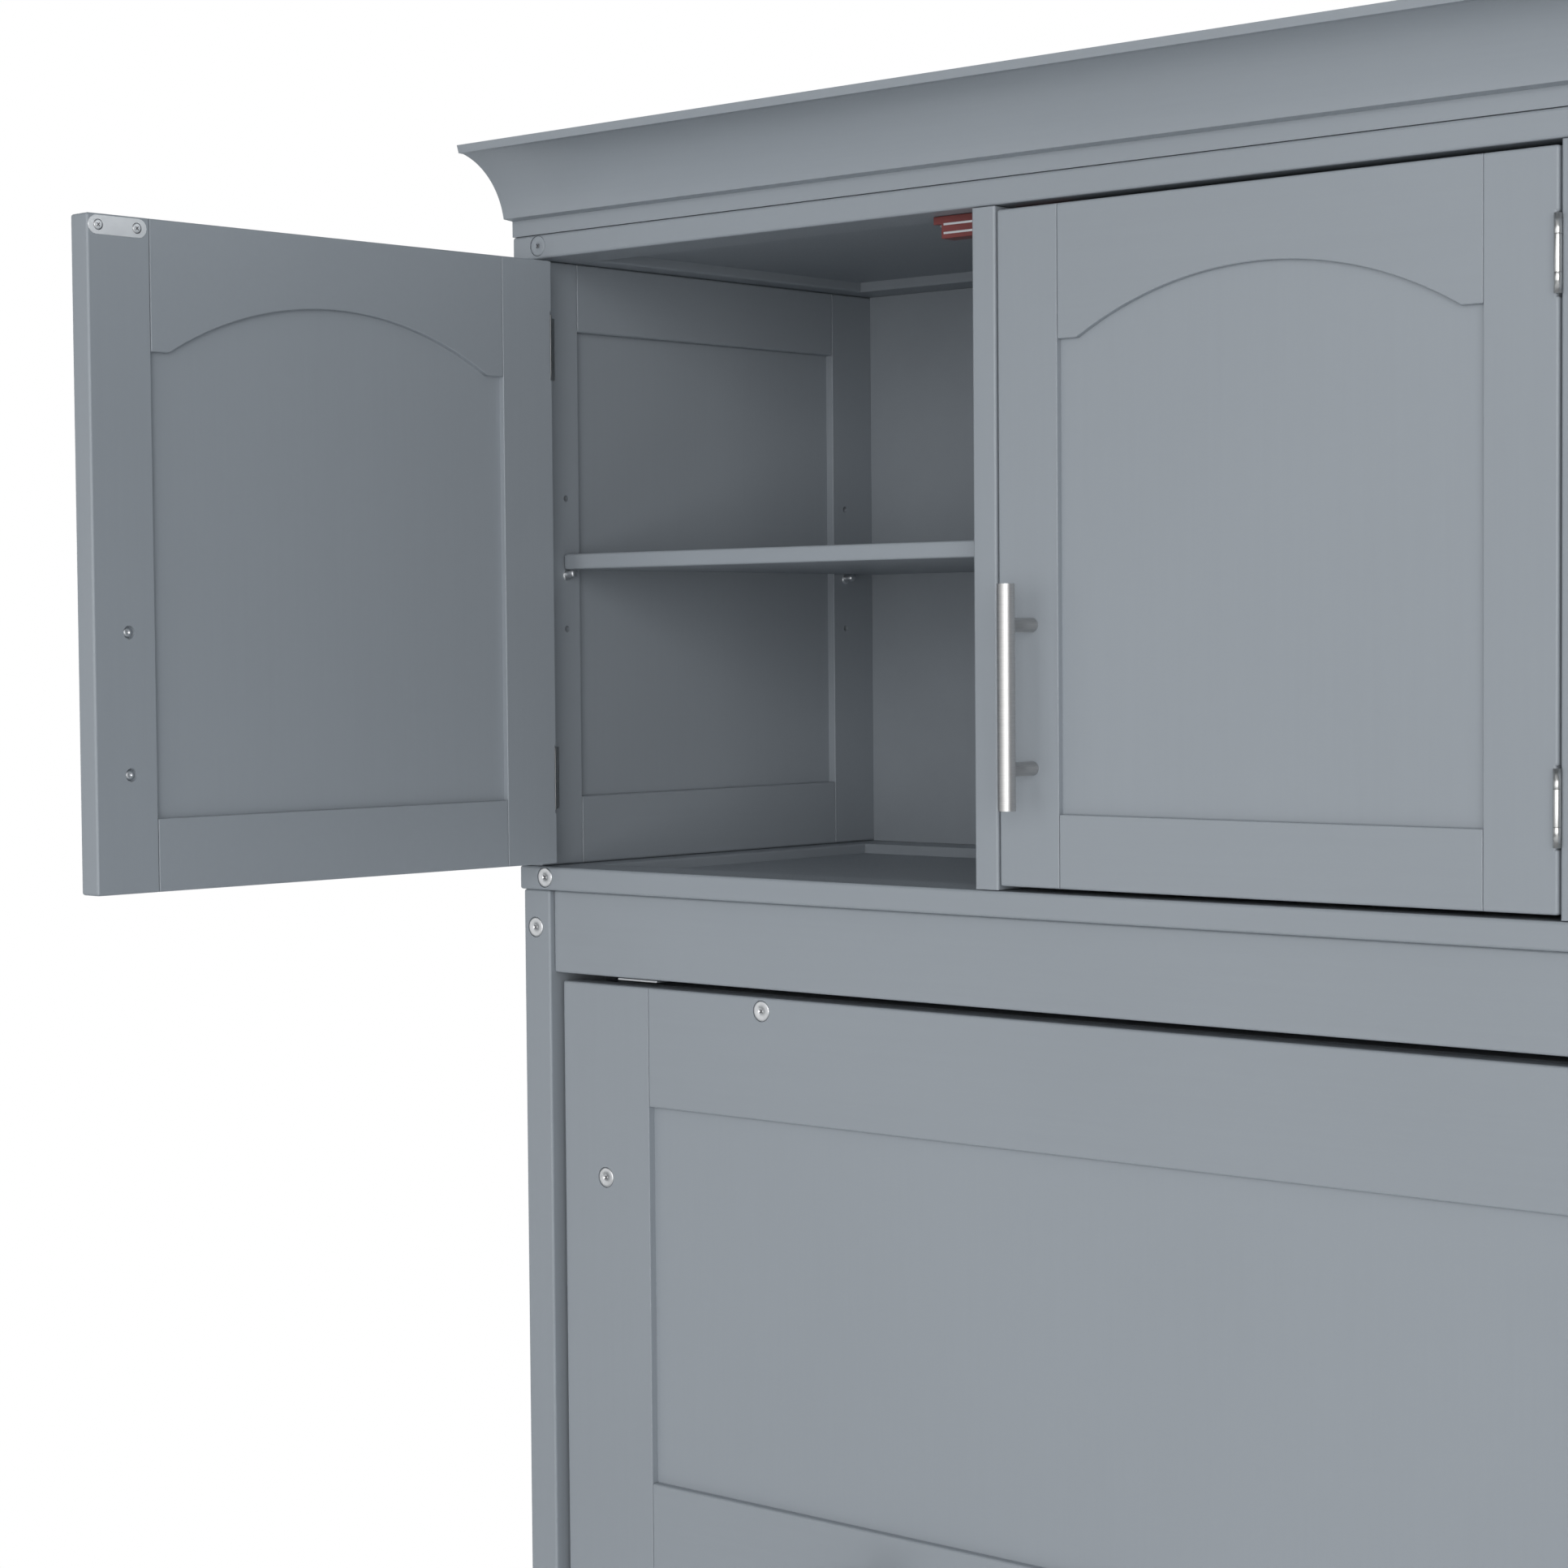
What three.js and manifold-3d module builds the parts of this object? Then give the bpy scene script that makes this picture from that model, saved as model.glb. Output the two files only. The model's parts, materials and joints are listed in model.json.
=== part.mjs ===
// A side-tilting wall bed with a row of cupboards above it.
//
// The cabinet stands on the floor against a wall. Its whole lower front is the underside of the bed,
// which folds down about an axis near the floor, helped by two gas struts. Two legs on that underside
// swing out as it comes down. The cupboard row on top has five bays: four with doors, one open.
//
// Millimetres. +X is to the right seen from the front, +Y points to the wall, +Z is up.
// The origin is on the floor, under the middle of the cabinet.

import * as THREE from "three";
import { mergeVertices } from "three/addons/utils/BufferGeometryUtils.js";
import Module from "manifold-3d";

const wasm = await Module();
wasm.setup();

// ---- Driving dimensions -------------------------------------------------------------------------

const FIT = 0.3; // gap between pieces that touch
const DEPTH = 405;
const FRONT = -DEPTH / 2;
const WALL = DEPTH / 2;

const BAYS = 5;
const BAY = 420;
const DIVIDER_T = 20;
const HUTCH_SIDE_T = 24;
const WIDTH = 2 * HUTCH_SIDE_T + BAYS * BAY + (BAYS - 1) * DIVIDER_T;
const HALF = WIDTH / 2;
const DOOR_BAYS = { 1: "left", 2: "right", 4: "left", 5: "right" }; // the side that each door hangs on
const BOARD_T = 18;
const BACK_T = 5;
const BACK_INSET = 3.3; // from the wall plane to the back panels
const BACK_FACE = WALL - BACK_INSET - BACK_T;

const LOWER_SIDE_T = 28;
const LOWER_SETBACK = 4; // lower sides and apron stand this far behind the boards' front edges
const BED_SETBACK = 12;
const LOWER_INSIDE = HALF - LOWER_SIDE_T;

const BED_BOTTOM = 60;
const BED_RAIL = 90;
const BED_OPENING = 285;
const BED_ROWS = 4;
const BED_T = 20;
const BED_H = BED_ROWS * BED_OPENING + (BED_ROWS + 1) * BED_RAIL;
const BED_TOP = BED_BOTTOM + BED_H;
const BED_HALF = LOWER_INSIDE - 5.5;
const BED_FACE = FRONT + BED_SETBACK;
const BED_RECESS = 6;
const BED_BACK = BED_FACE + BED_T;
const BED_FRAME_T = 20; // thickness of the rails round the mattress
const BED_FRAME_D = 110;
const BED_FRAME_IN = 36; // end rails stand this far in from the front's ends
const BED_FRAME_HALF = BED_HALF - BED_FRAME_IN;

const APRON_GAP = 6.5;
const APRON_H = 63.5;
const HUTCH_UNDERSIDE = BED_TOP + APRON_GAP + APRON_H;
const HUTCH_FLOOR = HUTCH_UNDERSIDE + BOARD_T;
const HUTCH_H = 462;
const HUTCH_CEILING = HUTCH_FLOOR + HUTCH_H;
const HUTCH_TOP = HUTCH_CEILING + BOARD_T;

const PLINTH_H = 50;
const PLINTH_T = 18;
const BASE_T = 16;

const DOOR_W = 417;
const DOOR_H = 455;
const DOOR_T = 19;
const DOOR_FRAME = 50; // stiles and bottom rail
const DOOR_RECESS = 4.5;
const DOOR_BOTTOM = HUTCH_FLOOR + 3.5;
const SHOULDER_Z = 365.5; // above the door's bottom edge
const ARCH_RISE = 38.5;
const SHOULDER_W = 15;
const DOOR_OPEN = 92.16; // degrees, door 1 as it stands

const HINGE_OUT = 2.6; // hinge axis in front of the door's face
const HINGE_GAP = (BAY - DOOR_W) / 2;
const HINGE_R = 2.4;
const HINGE_H = 47;
const HINGE_INSET = 40.5;
const MORTISE = 1.2;

const HANDLE_L = 151;
const HANDLE_R = 6;
const HANDLE_SPREAD = 96;
const HANDLE_POST_R = 4.75;
const HANDLE_STAND = 29;
const HANDLE_INSET = 28.5;
const HANDLE_Z = 128.3;

const PIVOT_Y = -160;
const PIVOT_Z = 300;
const PIVOT_R = 8;
const STRUT_X = HALF - 50;
const STRUT_TOP = { y: -50, z: 800 };
const STRUT_FOOT = { y: -115, z: 150 };
const STRUT_BORE_R = 5.4;
const STRUT_ROD_R = 5;
const STRUT_TUBE_R = 11;
const STRUT_TUBE_L = 330;
const STRUT_ROD_L = 345;
const STUD_R = 4;

const LEG_X = 758;
const LEG_W = 40;
const LEG_D = 45;
const LEG_PIVOT_Z = 1224;
const LEG_PIVOT_Y = BED_FACE - LEG_D / 2 - 1.5;
const LEG_L = 245; // pivot to foot: the floor, 0.5 mm clear, when the bed is down

// ---- Finishes -----------------------------------------------------------------------------------

const FINISHES = {
  paint: { color: 0x8d959c, roughness: 0.5, metalness: 0 },
  board: { color: 0x868e95, roughness: 0.6, metalness: 0 },
  slats: { color: 0xc9b28a, roughness: 0.7, metalness: 0 },
  steel: { color: 0xc4c4c2, roughness: 0.3, metalness: 1 },
  zinc: { color: 0xb0b3b5, roughness: 0.4, metalness: 1 },
  black: { color: 0x202224, roughness: 0.45, metalness: 0.2 },
  catch: { color: 0x6b2f30, roughness: 0.5, metalness: 0 },
};

// ---- Solid helpers ------------------------------------------------------------------------------

function toSolid(geometry) {
  const bare = geometry.clone();
  bare.deleteAttribute("normal");
  bare.deleteAttribute("uv");
  const merged = mergeVertices(bare, 1e-4);
  const vertProperties = merged.attributes.position.array;
  const triVerts = new Uint32Array(merged.index.array);
  return new wasm.Manifold(new wasm.Mesh({ numProp: 3, vertProperties, triVerts }));
}

function toGeometry(solid) {
  const mesh = solid.getMesh();
  const geometry = new THREE.BufferGeometry();
  geometry.setAttribute("position", new THREE.BufferAttribute(mesh.vertProperties, 3));
  geometry.setIndex(new THREE.BufferAttribute(mesh.triVerts, 1));
  geometry.computeVertexNormals();
  return geometry;
}

function join(...pieces) {
  const solids = pieces.map(toSolid);
  return toGeometry(solids.reduce((whole, piece) => whole.add(piece)));
}

function cut(body, tools) {
  const solids = tools.map(toSolid);
  return toGeometry(solids.reduce((whole, tool) => whole.subtract(tool), toSolid(body)));
}

// A box between two values on each axis, given in either order.
function box([x0, x1], [y0, y1], [z0, z1]) {
  const size = [Math.abs(x1 - x0), Math.abs(y1 - y0), Math.abs(z1 - z0)];
  const geometry = new THREE.BoxGeometry(...size);
  return geometry.translate((x0 + x1) / 2, (y0 + y1) / 2, (z0 + z1) / 2);
}

// A shape drawn in X and Z, made solid between two values of Y.
function prismAlongY(shape, y0, y1, curveSegments = 12) {
  const options = { depth: y1 - y0, bevelEnabled: false, curveSegments };
  return new THREE.ExtrudeGeometry(shape, options).rotateX(Math.PI / 2).translate(0, y1, 0);
}

// A shape drawn in Y and Z, made solid between two values of X.
function prismAlongX(shape, x0, x1, curveSegments = 12) {
  const options = { depth: x1 - x0, bevelEnabled: false, curveSegments };
  const turn = new THREE.Matrix4().makeBasis(
    new THREE.Vector3(0, 1, 0),
    new THREE.Vector3(0, 0, 1),
    new THREE.Vector3(1, 0, 0),
  );
  return new THREE.ExtrudeGeometry(shape, options).applyMatrix4(turn).translate(x0, 0, 0);
}

function rodAlongX(radius, x0, x1, y, z, sides = 24) {
  const rod = new THREE.CylinderGeometry(radius, radius, Math.abs(x1 - x0), sides);
  return rod.rotateZ(Math.PI / 2).translate((x0 + x1) / 2, y, z);
}

function rodAlongY(radius, y0, y1, x, z, sides = 20) {
  const rod = new THREE.CylinderGeometry(radius, radius, Math.abs(y1 - y0), sides);
  return rod.translate(x, (y0 + y1) / 2, z);
}

function rodAlongZ(radius, z0, z1, x, y, sides = 20) {
  const rod = new THREE.CylinderGeometry(radius, radius, z1 - z0, sides);
  return rod.rotateX(Math.PI / 2).translate(x, y, (z0 + z1) / 2);
}

const bed = new THREE.Group();
const wallBed = new THREE.Group();
wallBed.add(bed);

function place(name, geometry, finish, parent = wallBed) {
  const mesh = new THREE.Mesh(geometry, new THREE.MeshStandardMaterial(FINISHES[finish]));
  mesh.name = name;
  parent.add(mesh);
  return mesh;
}

// ---- Cupboard row -------------------------------------------------------------------------------

const bayLeft = (bay) => -HALF + HUTCH_SIDE_T + (bay - 1) * (BAY + DIVIDER_T);
const bayRight = (bay) => bayLeft(bay) + BAY;

const FRAME_W = 45; // rails of the framed boards and of the cupboard sides
const PANEL_SINK = 8;
const PANEL_BACK_SINK = 5;
const SIDE_SINK = 7;

// The recesses of a framed board, one over each bay, sunk between two heights.
function bayRecesses(z0, z1) {
  const recesses = [];
  for (let bay = 1; bay <= BAYS; bay++) {
    const left = bay === 1 ? -HALF + FRAME_W : bayLeft(bay) - DIVIDER_T / 2 + FRAME_W / 2;
    const right = bay === BAYS ? HALF - FRAME_W : bayRight(bay) + DIVIDER_T / 2 - FRAME_W / 2;
    recesses.push(box([left, right], [FRONT + FRAME_W, WALL - FRAME_W], [z0, z1]));
  }
  return recesses;
}

function hutchBoards() {
  const across = [-HALF, HALF];
  const deep = [FRONT, WALL];
  const floor = box(across, deep, [HUTCH_UNDERSIDE, HUTCH_FLOOR]);
  const ceiling = box(across, deep, [HUTCH_CEILING, HUTCH_TOP]);
  const floorCuts = bayRecesses(HUTCH_FLOOR - PANEL_SINK, HUTCH_FLOOR + 1);
  const ceilingCuts = bayRecesses(HUTCH_CEILING - 1, HUTCH_CEILING + PANEL_SINK);
  const topCuts = bayRecesses(HUTCH_TOP - PANEL_BACK_SINK, HUTCH_TOP + 1);
  place("hutch_floor_board", cut(floor, floorCuts), "paint");
  place("hutch_top_board", cut(ceiling, [...ceilingCuts, ...topCuts]), "paint");
}

const PIN_HOLE_R = 2.5;
const PIN_HOLE_D = 9;
const PIN_FRONT_Y = FRONT + 30.5;
const PIN_BACK_Y = FRONT + 362;
const PIN_ROWS = [181.5, 231.5, 281.5]; // above the cupboard floor

// Shelf pin holes in a board's face at x, drilled towards `into` (+1 or -1 along X).
function pinHoles(x, into) {
  const holes = [];
  for (const row of PIN_ROWS) {
    for (const y of [PIN_FRONT_Y, PIN_BACK_Y]) {
      const z = HUTCH_FLOOR + row;
      holes.push(rodAlongX(PIN_HOLE_R, x - into, x + into * PIN_HOLE_D, y, z, 10));
    }
  }
  return holes;
}

const SIDE_RAIL = 52;
const SIDE_BACK_STILE = 58;

function hutchSide(side) {
  const outer = side * HALF;
  const inner = side * (HALF - HUTCH_SIDE_T);
  const tall = [HUTCH_FLOOR + FIT, HUTCH_CEILING - FIT];
  const board = box([outer, inner], [FRONT, WALL], tall);
  const openingY = [FRONT + FRAME_W, WALL - SIDE_BACK_STILE];
  const openingZ = [HUTCH_FLOOR + SIDE_RAIL, HUTCH_CEILING - SIDE_RAIL];
  const insideCut = box([inner - side, inner + side * SIDE_SINK], openingY, openingZ);
  const outsideCut = box([outer + side, outer - side * SIDE_SINK], openingY, openingZ);
  return cut(board, [insideCut, outsideCut, ...pinHoles(inner, side)]);
}

function dividers() {
  for (let n = 1; n < BAYS; n++) {
    const left = bayRight(n);
    const right = left + DIVIDER_T;
    const tall = [HUTCH_FLOOR + FIT, HUTCH_CEILING - FIT];
    const board = box([left, right], [FRONT, BACK_FACE - FIT], tall);
    place(`hutch_divider_${n}`, cut(board, [...pinHoles(left, 1), ...pinHoles(right, -1)]), "paint");
  }
}

const SHELF_T = 12;
const SHELF_FRONT = FRONT + 26;
const SHELF_BOTTOM = HUTCH_FLOOR + 227;
const SHELF_END_GAP = 1;

function shelves() {
  for (let bay = 1; bay <= BAYS; bay++) {
    const across = [bayLeft(bay) + SHELF_END_GAP, bayRight(bay) - SHELF_END_GAP];
    const deep = [SHELF_FRONT, BACK_FACE - 1];
    const shelf = box(across, deep, [SHELF_BOTTOM, SHELF_BOTTOM + SHELF_T]);
    place(`shelf_${bay}`, shelf, "paint");
  }
}

function hutchBack() {
  const inside = HALF - HUTCH_SIDE_T - FIT;
  const tall = [HUTCH_FLOOR + FIT, HUTCH_CEILING - FIT];
  place("hutch_back_panel", box([-inside, inside], [BACK_FACE, BACK_FACE + BACK_T], tall), "board");
}

const CORNICE_H = 64;
const CORNICE_OUT = 57;
const COVE_R = 56.6;

// A crown moulding: a plain base strip, a cove that sweeps out, and a square fillet along the top.
function cornice() {
  const bottom = HUTCH_TOP + FIT;
  const coveStart = { y: FRONT - 9.2, z: bottom + 13 };
  const coveEnd = { y: FRONT - 50.7, z: bottom + 58 };
  const centre = { y: FRONT - 65, z: bottom + 3.3 };
  const startAngle = Math.atan2(coveStart.z - centre.z, coveStart.y - centre.y);
  const endAngle = Math.atan2(coveEnd.z - centre.z, coveEnd.y - centre.y);
  const profile = new THREE.Shape();
  profile.moveTo(FRONT + 18, bottom);
  profile.lineTo(FRONT + 18, bottom + CORNICE_H);
  profile.lineTo(FRONT - CORNICE_OUT, bottom + CORNICE_H);
  profile.lineTo(FRONT - CORNICE_OUT + 1.7, bottom + 58.2);
  profile.lineTo(coveEnd.y, coveEnd.z);
  profile.absarc(centre.y, centre.z, COVE_R, endAngle, startAngle, true);
  profile.lineTo(FRONT, bottom + 12.1);
  profile.lineTo(FRONT, bottom);
  place("cornice_moulding", prismAlongX(profile, -HALF, HALF, 14), "paint");
}

// ---- Doors and their fittings -------------------------------------------------------------------

// The arched opening of a door, in X and Z, for a door whose frame runs from x0 to x1.
function archShape(x0, x1) {
  const left = x0 + DOOR_FRAME;
  const right = x1 - DOOR_FRAME;
  const centreX = (left + right) / 2;
  const halfSpan = (right - left) / 2 - SHOULDER_W;
  const radius = (halfSpan ** 2 + ARCH_RISE ** 2) / (2 * ARCH_RISE);
  const centreZ = SHOULDER_Z + ARCH_RISE - radius;
  const halfAngle = Math.asin(halfSpan / radius);
  const shape = new THREE.Shape();
  shape.moveTo(left, DOOR_FRAME);
  shape.lineTo(right, DOOR_FRAME);
  shape.lineTo(right, SHOULDER_Z);
  shape.lineTo(right - SHOULDER_W, SHOULDER_Z);
  shape.absarc(centreX, centreZ, radius, Math.PI / 2 - halfAngle, Math.PI / 2 + halfAngle, false);
  shape.lineTo(left, SHOULDER_Z);
  return shape;
}

// Door and handle are drawn with the hinge axis at x = 0, y = 0 and the door's bottom edge at z = 0.
// `reach` is +1 for a door that hangs on its left edge and -1 for one that hangs on its right edge.
function doorLeaf(reach) {
  const hingeEdge = reach * HINGE_GAP * 0.5;
  const freeEdge = hingeEdge + reach * DOOR_W;
  const x0 = Math.min(hingeEdge, freeEdge);
  const x1 = Math.max(hingeEdge, freeEdge);
  const face = HINGE_OUT;
  const back = HINGE_OUT + DOOR_T;
  const leaf = box([x0, x1], [face, back], [0, DOOR_H]);
  const arch = archShape(x0, x1);
  const cuts = [
    prismAlongY(arch, face - 1, face + DOOR_RECESS, 24),
    prismAlongY(arch, back - DOOR_RECESS, back + 1, 24),
  ];
  for (const z of [HINGE_INSET, DOOR_H - HINGE_INSET - HINGE_H]) {
    const deep = [hingeEdge - reach, hingeEdge + reach * MORTISE];
    cuts.push(box(deep, [face - 1, back + 1], [z - 1, z + HINGE_H + 1]));
  }
  return cut(leaf, cuts);
}

function barHandle(reach) {
  const x = reach * (HINGE_GAP * 0.5 + DOOR_W - HANDLE_INSET);
  const barY = HINGE_OUT - HANDLE_STAND;
  const posts = [-1, 1].map((end) => {
    const z = HANDLE_Z + (end * HANDLE_SPREAD) / 2;
    return rodAlongY(HANDLE_POST_R, barY, HINGE_OUT - FIT, x, z, 16);
  });
  const bar = rodAlongZ(HANDLE_R, HANDLE_Z - HANDLE_L / 2, HANDLE_Z + HANDLE_L / 2, x, barY, 24);
  return join(bar, ...posts);
}

// A butt hinge: a barrel of three knuckles in front of the door, and the leaf on the cabinet.
function buttHinge(axisX, wallSide, z0) {
  const groove = 0.4;
  const ends = [0, 12, 12 + groove, 35 - groove, 35, HINGE_H];
  const profile = [new THREE.Vector2(0, 0)];
  ends.forEach((height, i) => {
    const inGroove = i === 1 || i === 3;
    profile.push(new THREE.Vector2(HINGE_R, height));
    if (inGroove) {
      profile.push(new THREE.Vector2(HINGE_R - groove, height));
      profile.push(new THREE.Vector2(HINGE_R - groove, ends[i + 1]));
    }
  });
  profile.push(new THREE.Vector2(0, HINGE_H));
  const axisY = FRONT - HINGE_OUT;
  const barrel = new THREE.LatheGeometry(profile, 16).rotateX(Math.PI / 2);
  barrel.translate(axisX, axisY, z0);
  const leafX = [axisX - wallSide * 0.2, axisX + wallSide * 0.68];
  const leaf = box(leafX, [axisY, FRONT + DOOR_T], [z0, z0 + HINGE_H]);
  return join(barrel, leaf);
}

const CATCH_L = 46;
const CATCH_EAR = 7;
const CATCH_D = 14;
const CATCH_H = 15.5;
const CATCH_EAR_H = 5.5;
const CATCH_FROM_WALL = 2.5;

// A double magnetic catch under the cupboard ceiling, at the free edge of a closed door.
function magneticCatch(freeWallX, away) {
  const near = freeWallX + away * CATCH_FROM_WALL;
  const far = near + away * CATCH_L;
  const y = [FRONT + DOOR_T + 0.8, FRONT + DOOR_T + 0.8 + CATCH_D];
  const top = HUTCH_CEILING - FIT;
  const body = box([near + away * CATCH_EAR, far - away * CATCH_EAR], y, [top - CATCH_H, top]);
  return join(body, box([near, far], y, [top - CATCH_EAR_H, top]));
}

function cupboardDoor(bay, hungOn) {
  const reach = hungOn === "left" ? 1 : -1;
  const hingeWall = hungOn === "left" ? bayLeft(bay) : bayRight(bay);
  const freeWall = hungOn === "left" ? bayRight(bay) : bayLeft(bay);
  const axisX = hingeWall + reach * HINGE_GAP * 0.5;
  const swing = new THREE.Group();
  swing.position.set(axisX, FRONT - HINGE_OUT, DOOR_BOTTOM);
  swing.rotation.z = bay === 1 ? -THREE.MathUtils.degToRad(DOOR_OPEN) : 0;
  wallBed.add(swing);
  place(`door_${bay}`, doorLeaf(reach), "paint", swing);
  place(`handle_${bay}`, barHandle(reach), "steel", swing);
  const lower = DOOR_BOTTOM + HINGE_INSET;
  const upper = DOOR_BOTTOM + DOOR_H - HINGE_INSET - HINGE_H;
  place(`hinge_${bay}_lower`, buttHinge(axisX, -reach, lower), "zinc");
  place(`hinge_${bay}_upper`, buttHinge(axisX, -reach, upper), "zinc");
  place(`magnetic_catch_${bay}`, magneticCatch(freeWall, -reach), "catch");
}

// ---- Lower cabinet ------------------------------------------------------------------------------

const LOWER_FRONT = FRONT + LOWER_SETBACK;
const SIDE_OPENINGS = [
  [95, 830],
  [900, 1635],
];

function lowerSide(side) {
  const outer = side * HALF;
  const board = box([outer, side * LOWER_INSIDE], [LOWER_FRONT, WALL], [0, HUTCH_UNDERSIDE - FIT]);
  const openingY = [LOWER_FRONT + 60, WALL - 60];
  const cuts = SIDE_OPENINGS.map((tall) => box([outer + side, outer - side * SIDE_SINK], openingY, tall));
  return cut(board, cuts);
}

function carcass() {
  const inside = LOWER_INSIDE - FIT;
  const across = [-inside, inside];
  const plinthY = LOWER_FRONT + 6;
  const apronY = FRONT + 8;
  const underside = HUTCH_UNDERSIDE - FIT;
  place("lower_side_left", lowerSide(-1), "paint");
  place("lower_side_right", lowerSide(1), "paint");
  place("plinth_rail", box(across, [plinthY, plinthY + PLINTH_T], [0, PLINTH_H]), "paint");
  place("base_board", box(across, [plinthY + PLINTH_T + FIT, BACK_FACE - FIT], [0, BASE_T]), "paint");
  place("lower_back_panel", box(across, [BACK_FACE, BACK_FACE + BACK_T], [0, underside]), "board");
  place("apron_rail", box(across, [apronY, apronY + BOARD_T], [BED_TOP + APRON_GAP, underside]), "paint");
  const wallRail = box(across, [BACK_FACE - FIT - 22, BACK_FACE - FIT], [underside - 120, underside]);
  place("wall_rail", wallRail, "board");
}

const KEEPER_X = 1000;
const KEEPER_W = 40;
const KEEPER_T = 1.5;

// A bent steel strip behind the apron, with a tongue that reaches forward into the gap above the bed.
function bedKeeper(side) {
  const across = [side * KEEPER_X - KEEPER_W / 2, side * KEEPER_X + KEEPER_W / 2];
  const back = FRONT + 8 + BOARD_T + FIT;
  const low = BED_TOP + 4.4;
  const tongue = box(across, [BED_FACE - 1.5, back + KEEPER_T], [low, low + KEEPER_T]);
  return join(tongue, box(across, [back, back + KEEPER_T], [low, low + 36]));
}

// ---- Bed ----------------------------------------------------------------------------------------

function bedFront() {
  const board = box([-BED_HALF, BED_HALF], [BED_FACE, BED_BACK], [BED_BOTTOM, BED_TOP]);
  const recesses = [];
  for (let row = 0; row < BED_ROWS; row++) {
    const low = BED_BOTTOM + BED_RAIL + row * (BED_RAIL + BED_OPENING);
    for (const side of [-1, 1]) {
      const across = [(side * BED_RAIL) / 2, side * (BED_HALF - BED_RAIL)];
      recesses.push(box(across, [BED_FACE - 1, BED_FACE + BED_RECESS], [low, low + BED_OPENING]));
    }
  }
  return cut(board, recesses);
}

const MATTRESS_HALF = BED_FRAME_HALF - BED_FRAME_T;
const FRAME_Y = [BED_BACK + FIT, BED_BACK + BED_FRAME_D];
const BETWEEN_RAILS = [BED_BOTTOM + BED_FRAME_T + FIT, BED_TOP - BED_FRAME_T - FIT];

const SLATS = 15;
const SLAT_W = 70;
const SLAT_T = 14;
const TIE_W = 60;

// Slats that run across the bed, held by a tie at each end and one along the middle.
function slatDeck() {
  const half = MATTRESS_HALF - FIT;
  const [low, high] = BETWEEN_RAILS;
  const middle = (low + high) / 2;
  const pitch = (2 * half - SLAT_W) / (SLATS - 1);
  const y0 = BED_BACK + 0.6;
  const y1 = y0 + SLAT_T;
  const windows = [];
  for (let n = 0; n < SLATS - 1; n++) {
    const left = -half + SLAT_W + n * pitch;
    const across = [left, left + pitch - SLAT_W];
    windows.push(box(across, [y0 - 1, y1 + 1], [low + TIE_W, middle - TIE_W / 2]));
    windows.push(box(across, [y0 - 1, y1 + 1], [middle + TIE_W / 2, high - TIE_W]));
  }
  return cut(box([-half, half], [y0, y1], [low, high]), windows);
}

function bedFrame() {
  const across = [-BED_FRAME_HALF, BED_FRAME_HALF];
  place("bed_front_panel", bedFront(), "paint", bed);
  place("bed_upper_rail", box(across, FRAME_Y, [BED_TOP - BED_FRAME_T, BED_TOP]), "paint", bed);
  place("bed_lower_rail", box(across, FRAME_Y, [BED_BOTTOM, BED_BOTTOM + BED_FRAME_T]), "paint", bed);
  for (const [name, side] of Object.entries({ left: -1, right: 1 })) {
    const thick = [side * BED_FRAME_HALF, side * MATTRESS_HALF];
    place(`bed_end_rail_${name}`, box(thick, FRAME_Y, BETWEEN_RAILS), "paint", bed);
  }
  place("slat_deck", slatDeck(), "slats", bed);
}

// ---- Folding gear -------------------------------------------------------------------------------

const PLATE_T = 4;
const STRUT_EYE_R = 9;
const STRUT_EYE_W = 10;

// The steel plate on a cabinet side, with the axle that the bed turns on and the strut's upper stud.
function pivotPlate(side) {
  const wallX = side * (LOWER_INSIDE - FIT);
  const faceX = side * (LOWER_INSIDE - FIT - PLATE_T);
  const outline = new THREE.Shape();
  outline.moveTo(PIVOT_Y - 24, PIVOT_Z - 70);
  outline.lineTo(PIVOT_Y + 50, PIVOT_Z - 70);
  outline.lineTo(STRUT_TOP.y + 30, STRUT_TOP.z - 60);
  outline.lineTo(STRUT_TOP.y + 30, STRUT_TOP.z + 45);
  outline.lineTo(STRUT_TOP.y - 35, STRUT_TOP.z + 45);
  outline.lineTo(PIVOT_Y - 24, PIVOT_Z + 90);
  const plate = prismAlongX(outline, Math.min(wallX, faceX), Math.max(wallX, faceX));
  const axleEnd = side * (BED_FRAME_HALF + FIT * 2);
  const studEnd = side * (STRUT_X - STRUT_EYE_W / 2 - 2);
  const axle = rodAlongX(PIVOT_R, wallX, axleEnd, PIVOT_Y, PIVOT_Z, 32);
  const stud = rodAlongX(STUD_R, wallX, studEnd, STRUT_TOP.y, STRUT_TOP.z, 16);
  return join(plate, axle, stud);
}

// The steel bracket on a bed end rail, with the bearing boss and the strut's lower stud.
function bedBracket(side) {
  const inX = side * (BED_FRAME_HALF + FIT);
  const outX = side * (BED_FRAME_HALF + FIT + PLATE_T);
  const bossX = side * (BED_FRAME_HALF + FIT + PLATE_T + 7);
  const studX = side * (STRUT_X - STRUT_EYE_W / 2 - 1);
  const plate = box([inX, outX], [BED_BACK + 2.5, BED_BACK + BED_FRAME_D - 6], [105, 420]);
  const boss = rodAlongX(PIVOT_R + 2.2, inX, bossX, PIVOT_Y, PIVOT_Z, 32);
  const stud = rodAlongX(STUD_R, inX, studX, STRUT_FOOT.y, STRUT_FOOT.z, 16);
  const bearing = rodAlongX(PIVOT_R + 0.08, inX - side, bossX + side, PIVOT_Y, PIVOT_Z, 32);
  return cut(join(plate, boss, stud), [bearing]);
}

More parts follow.
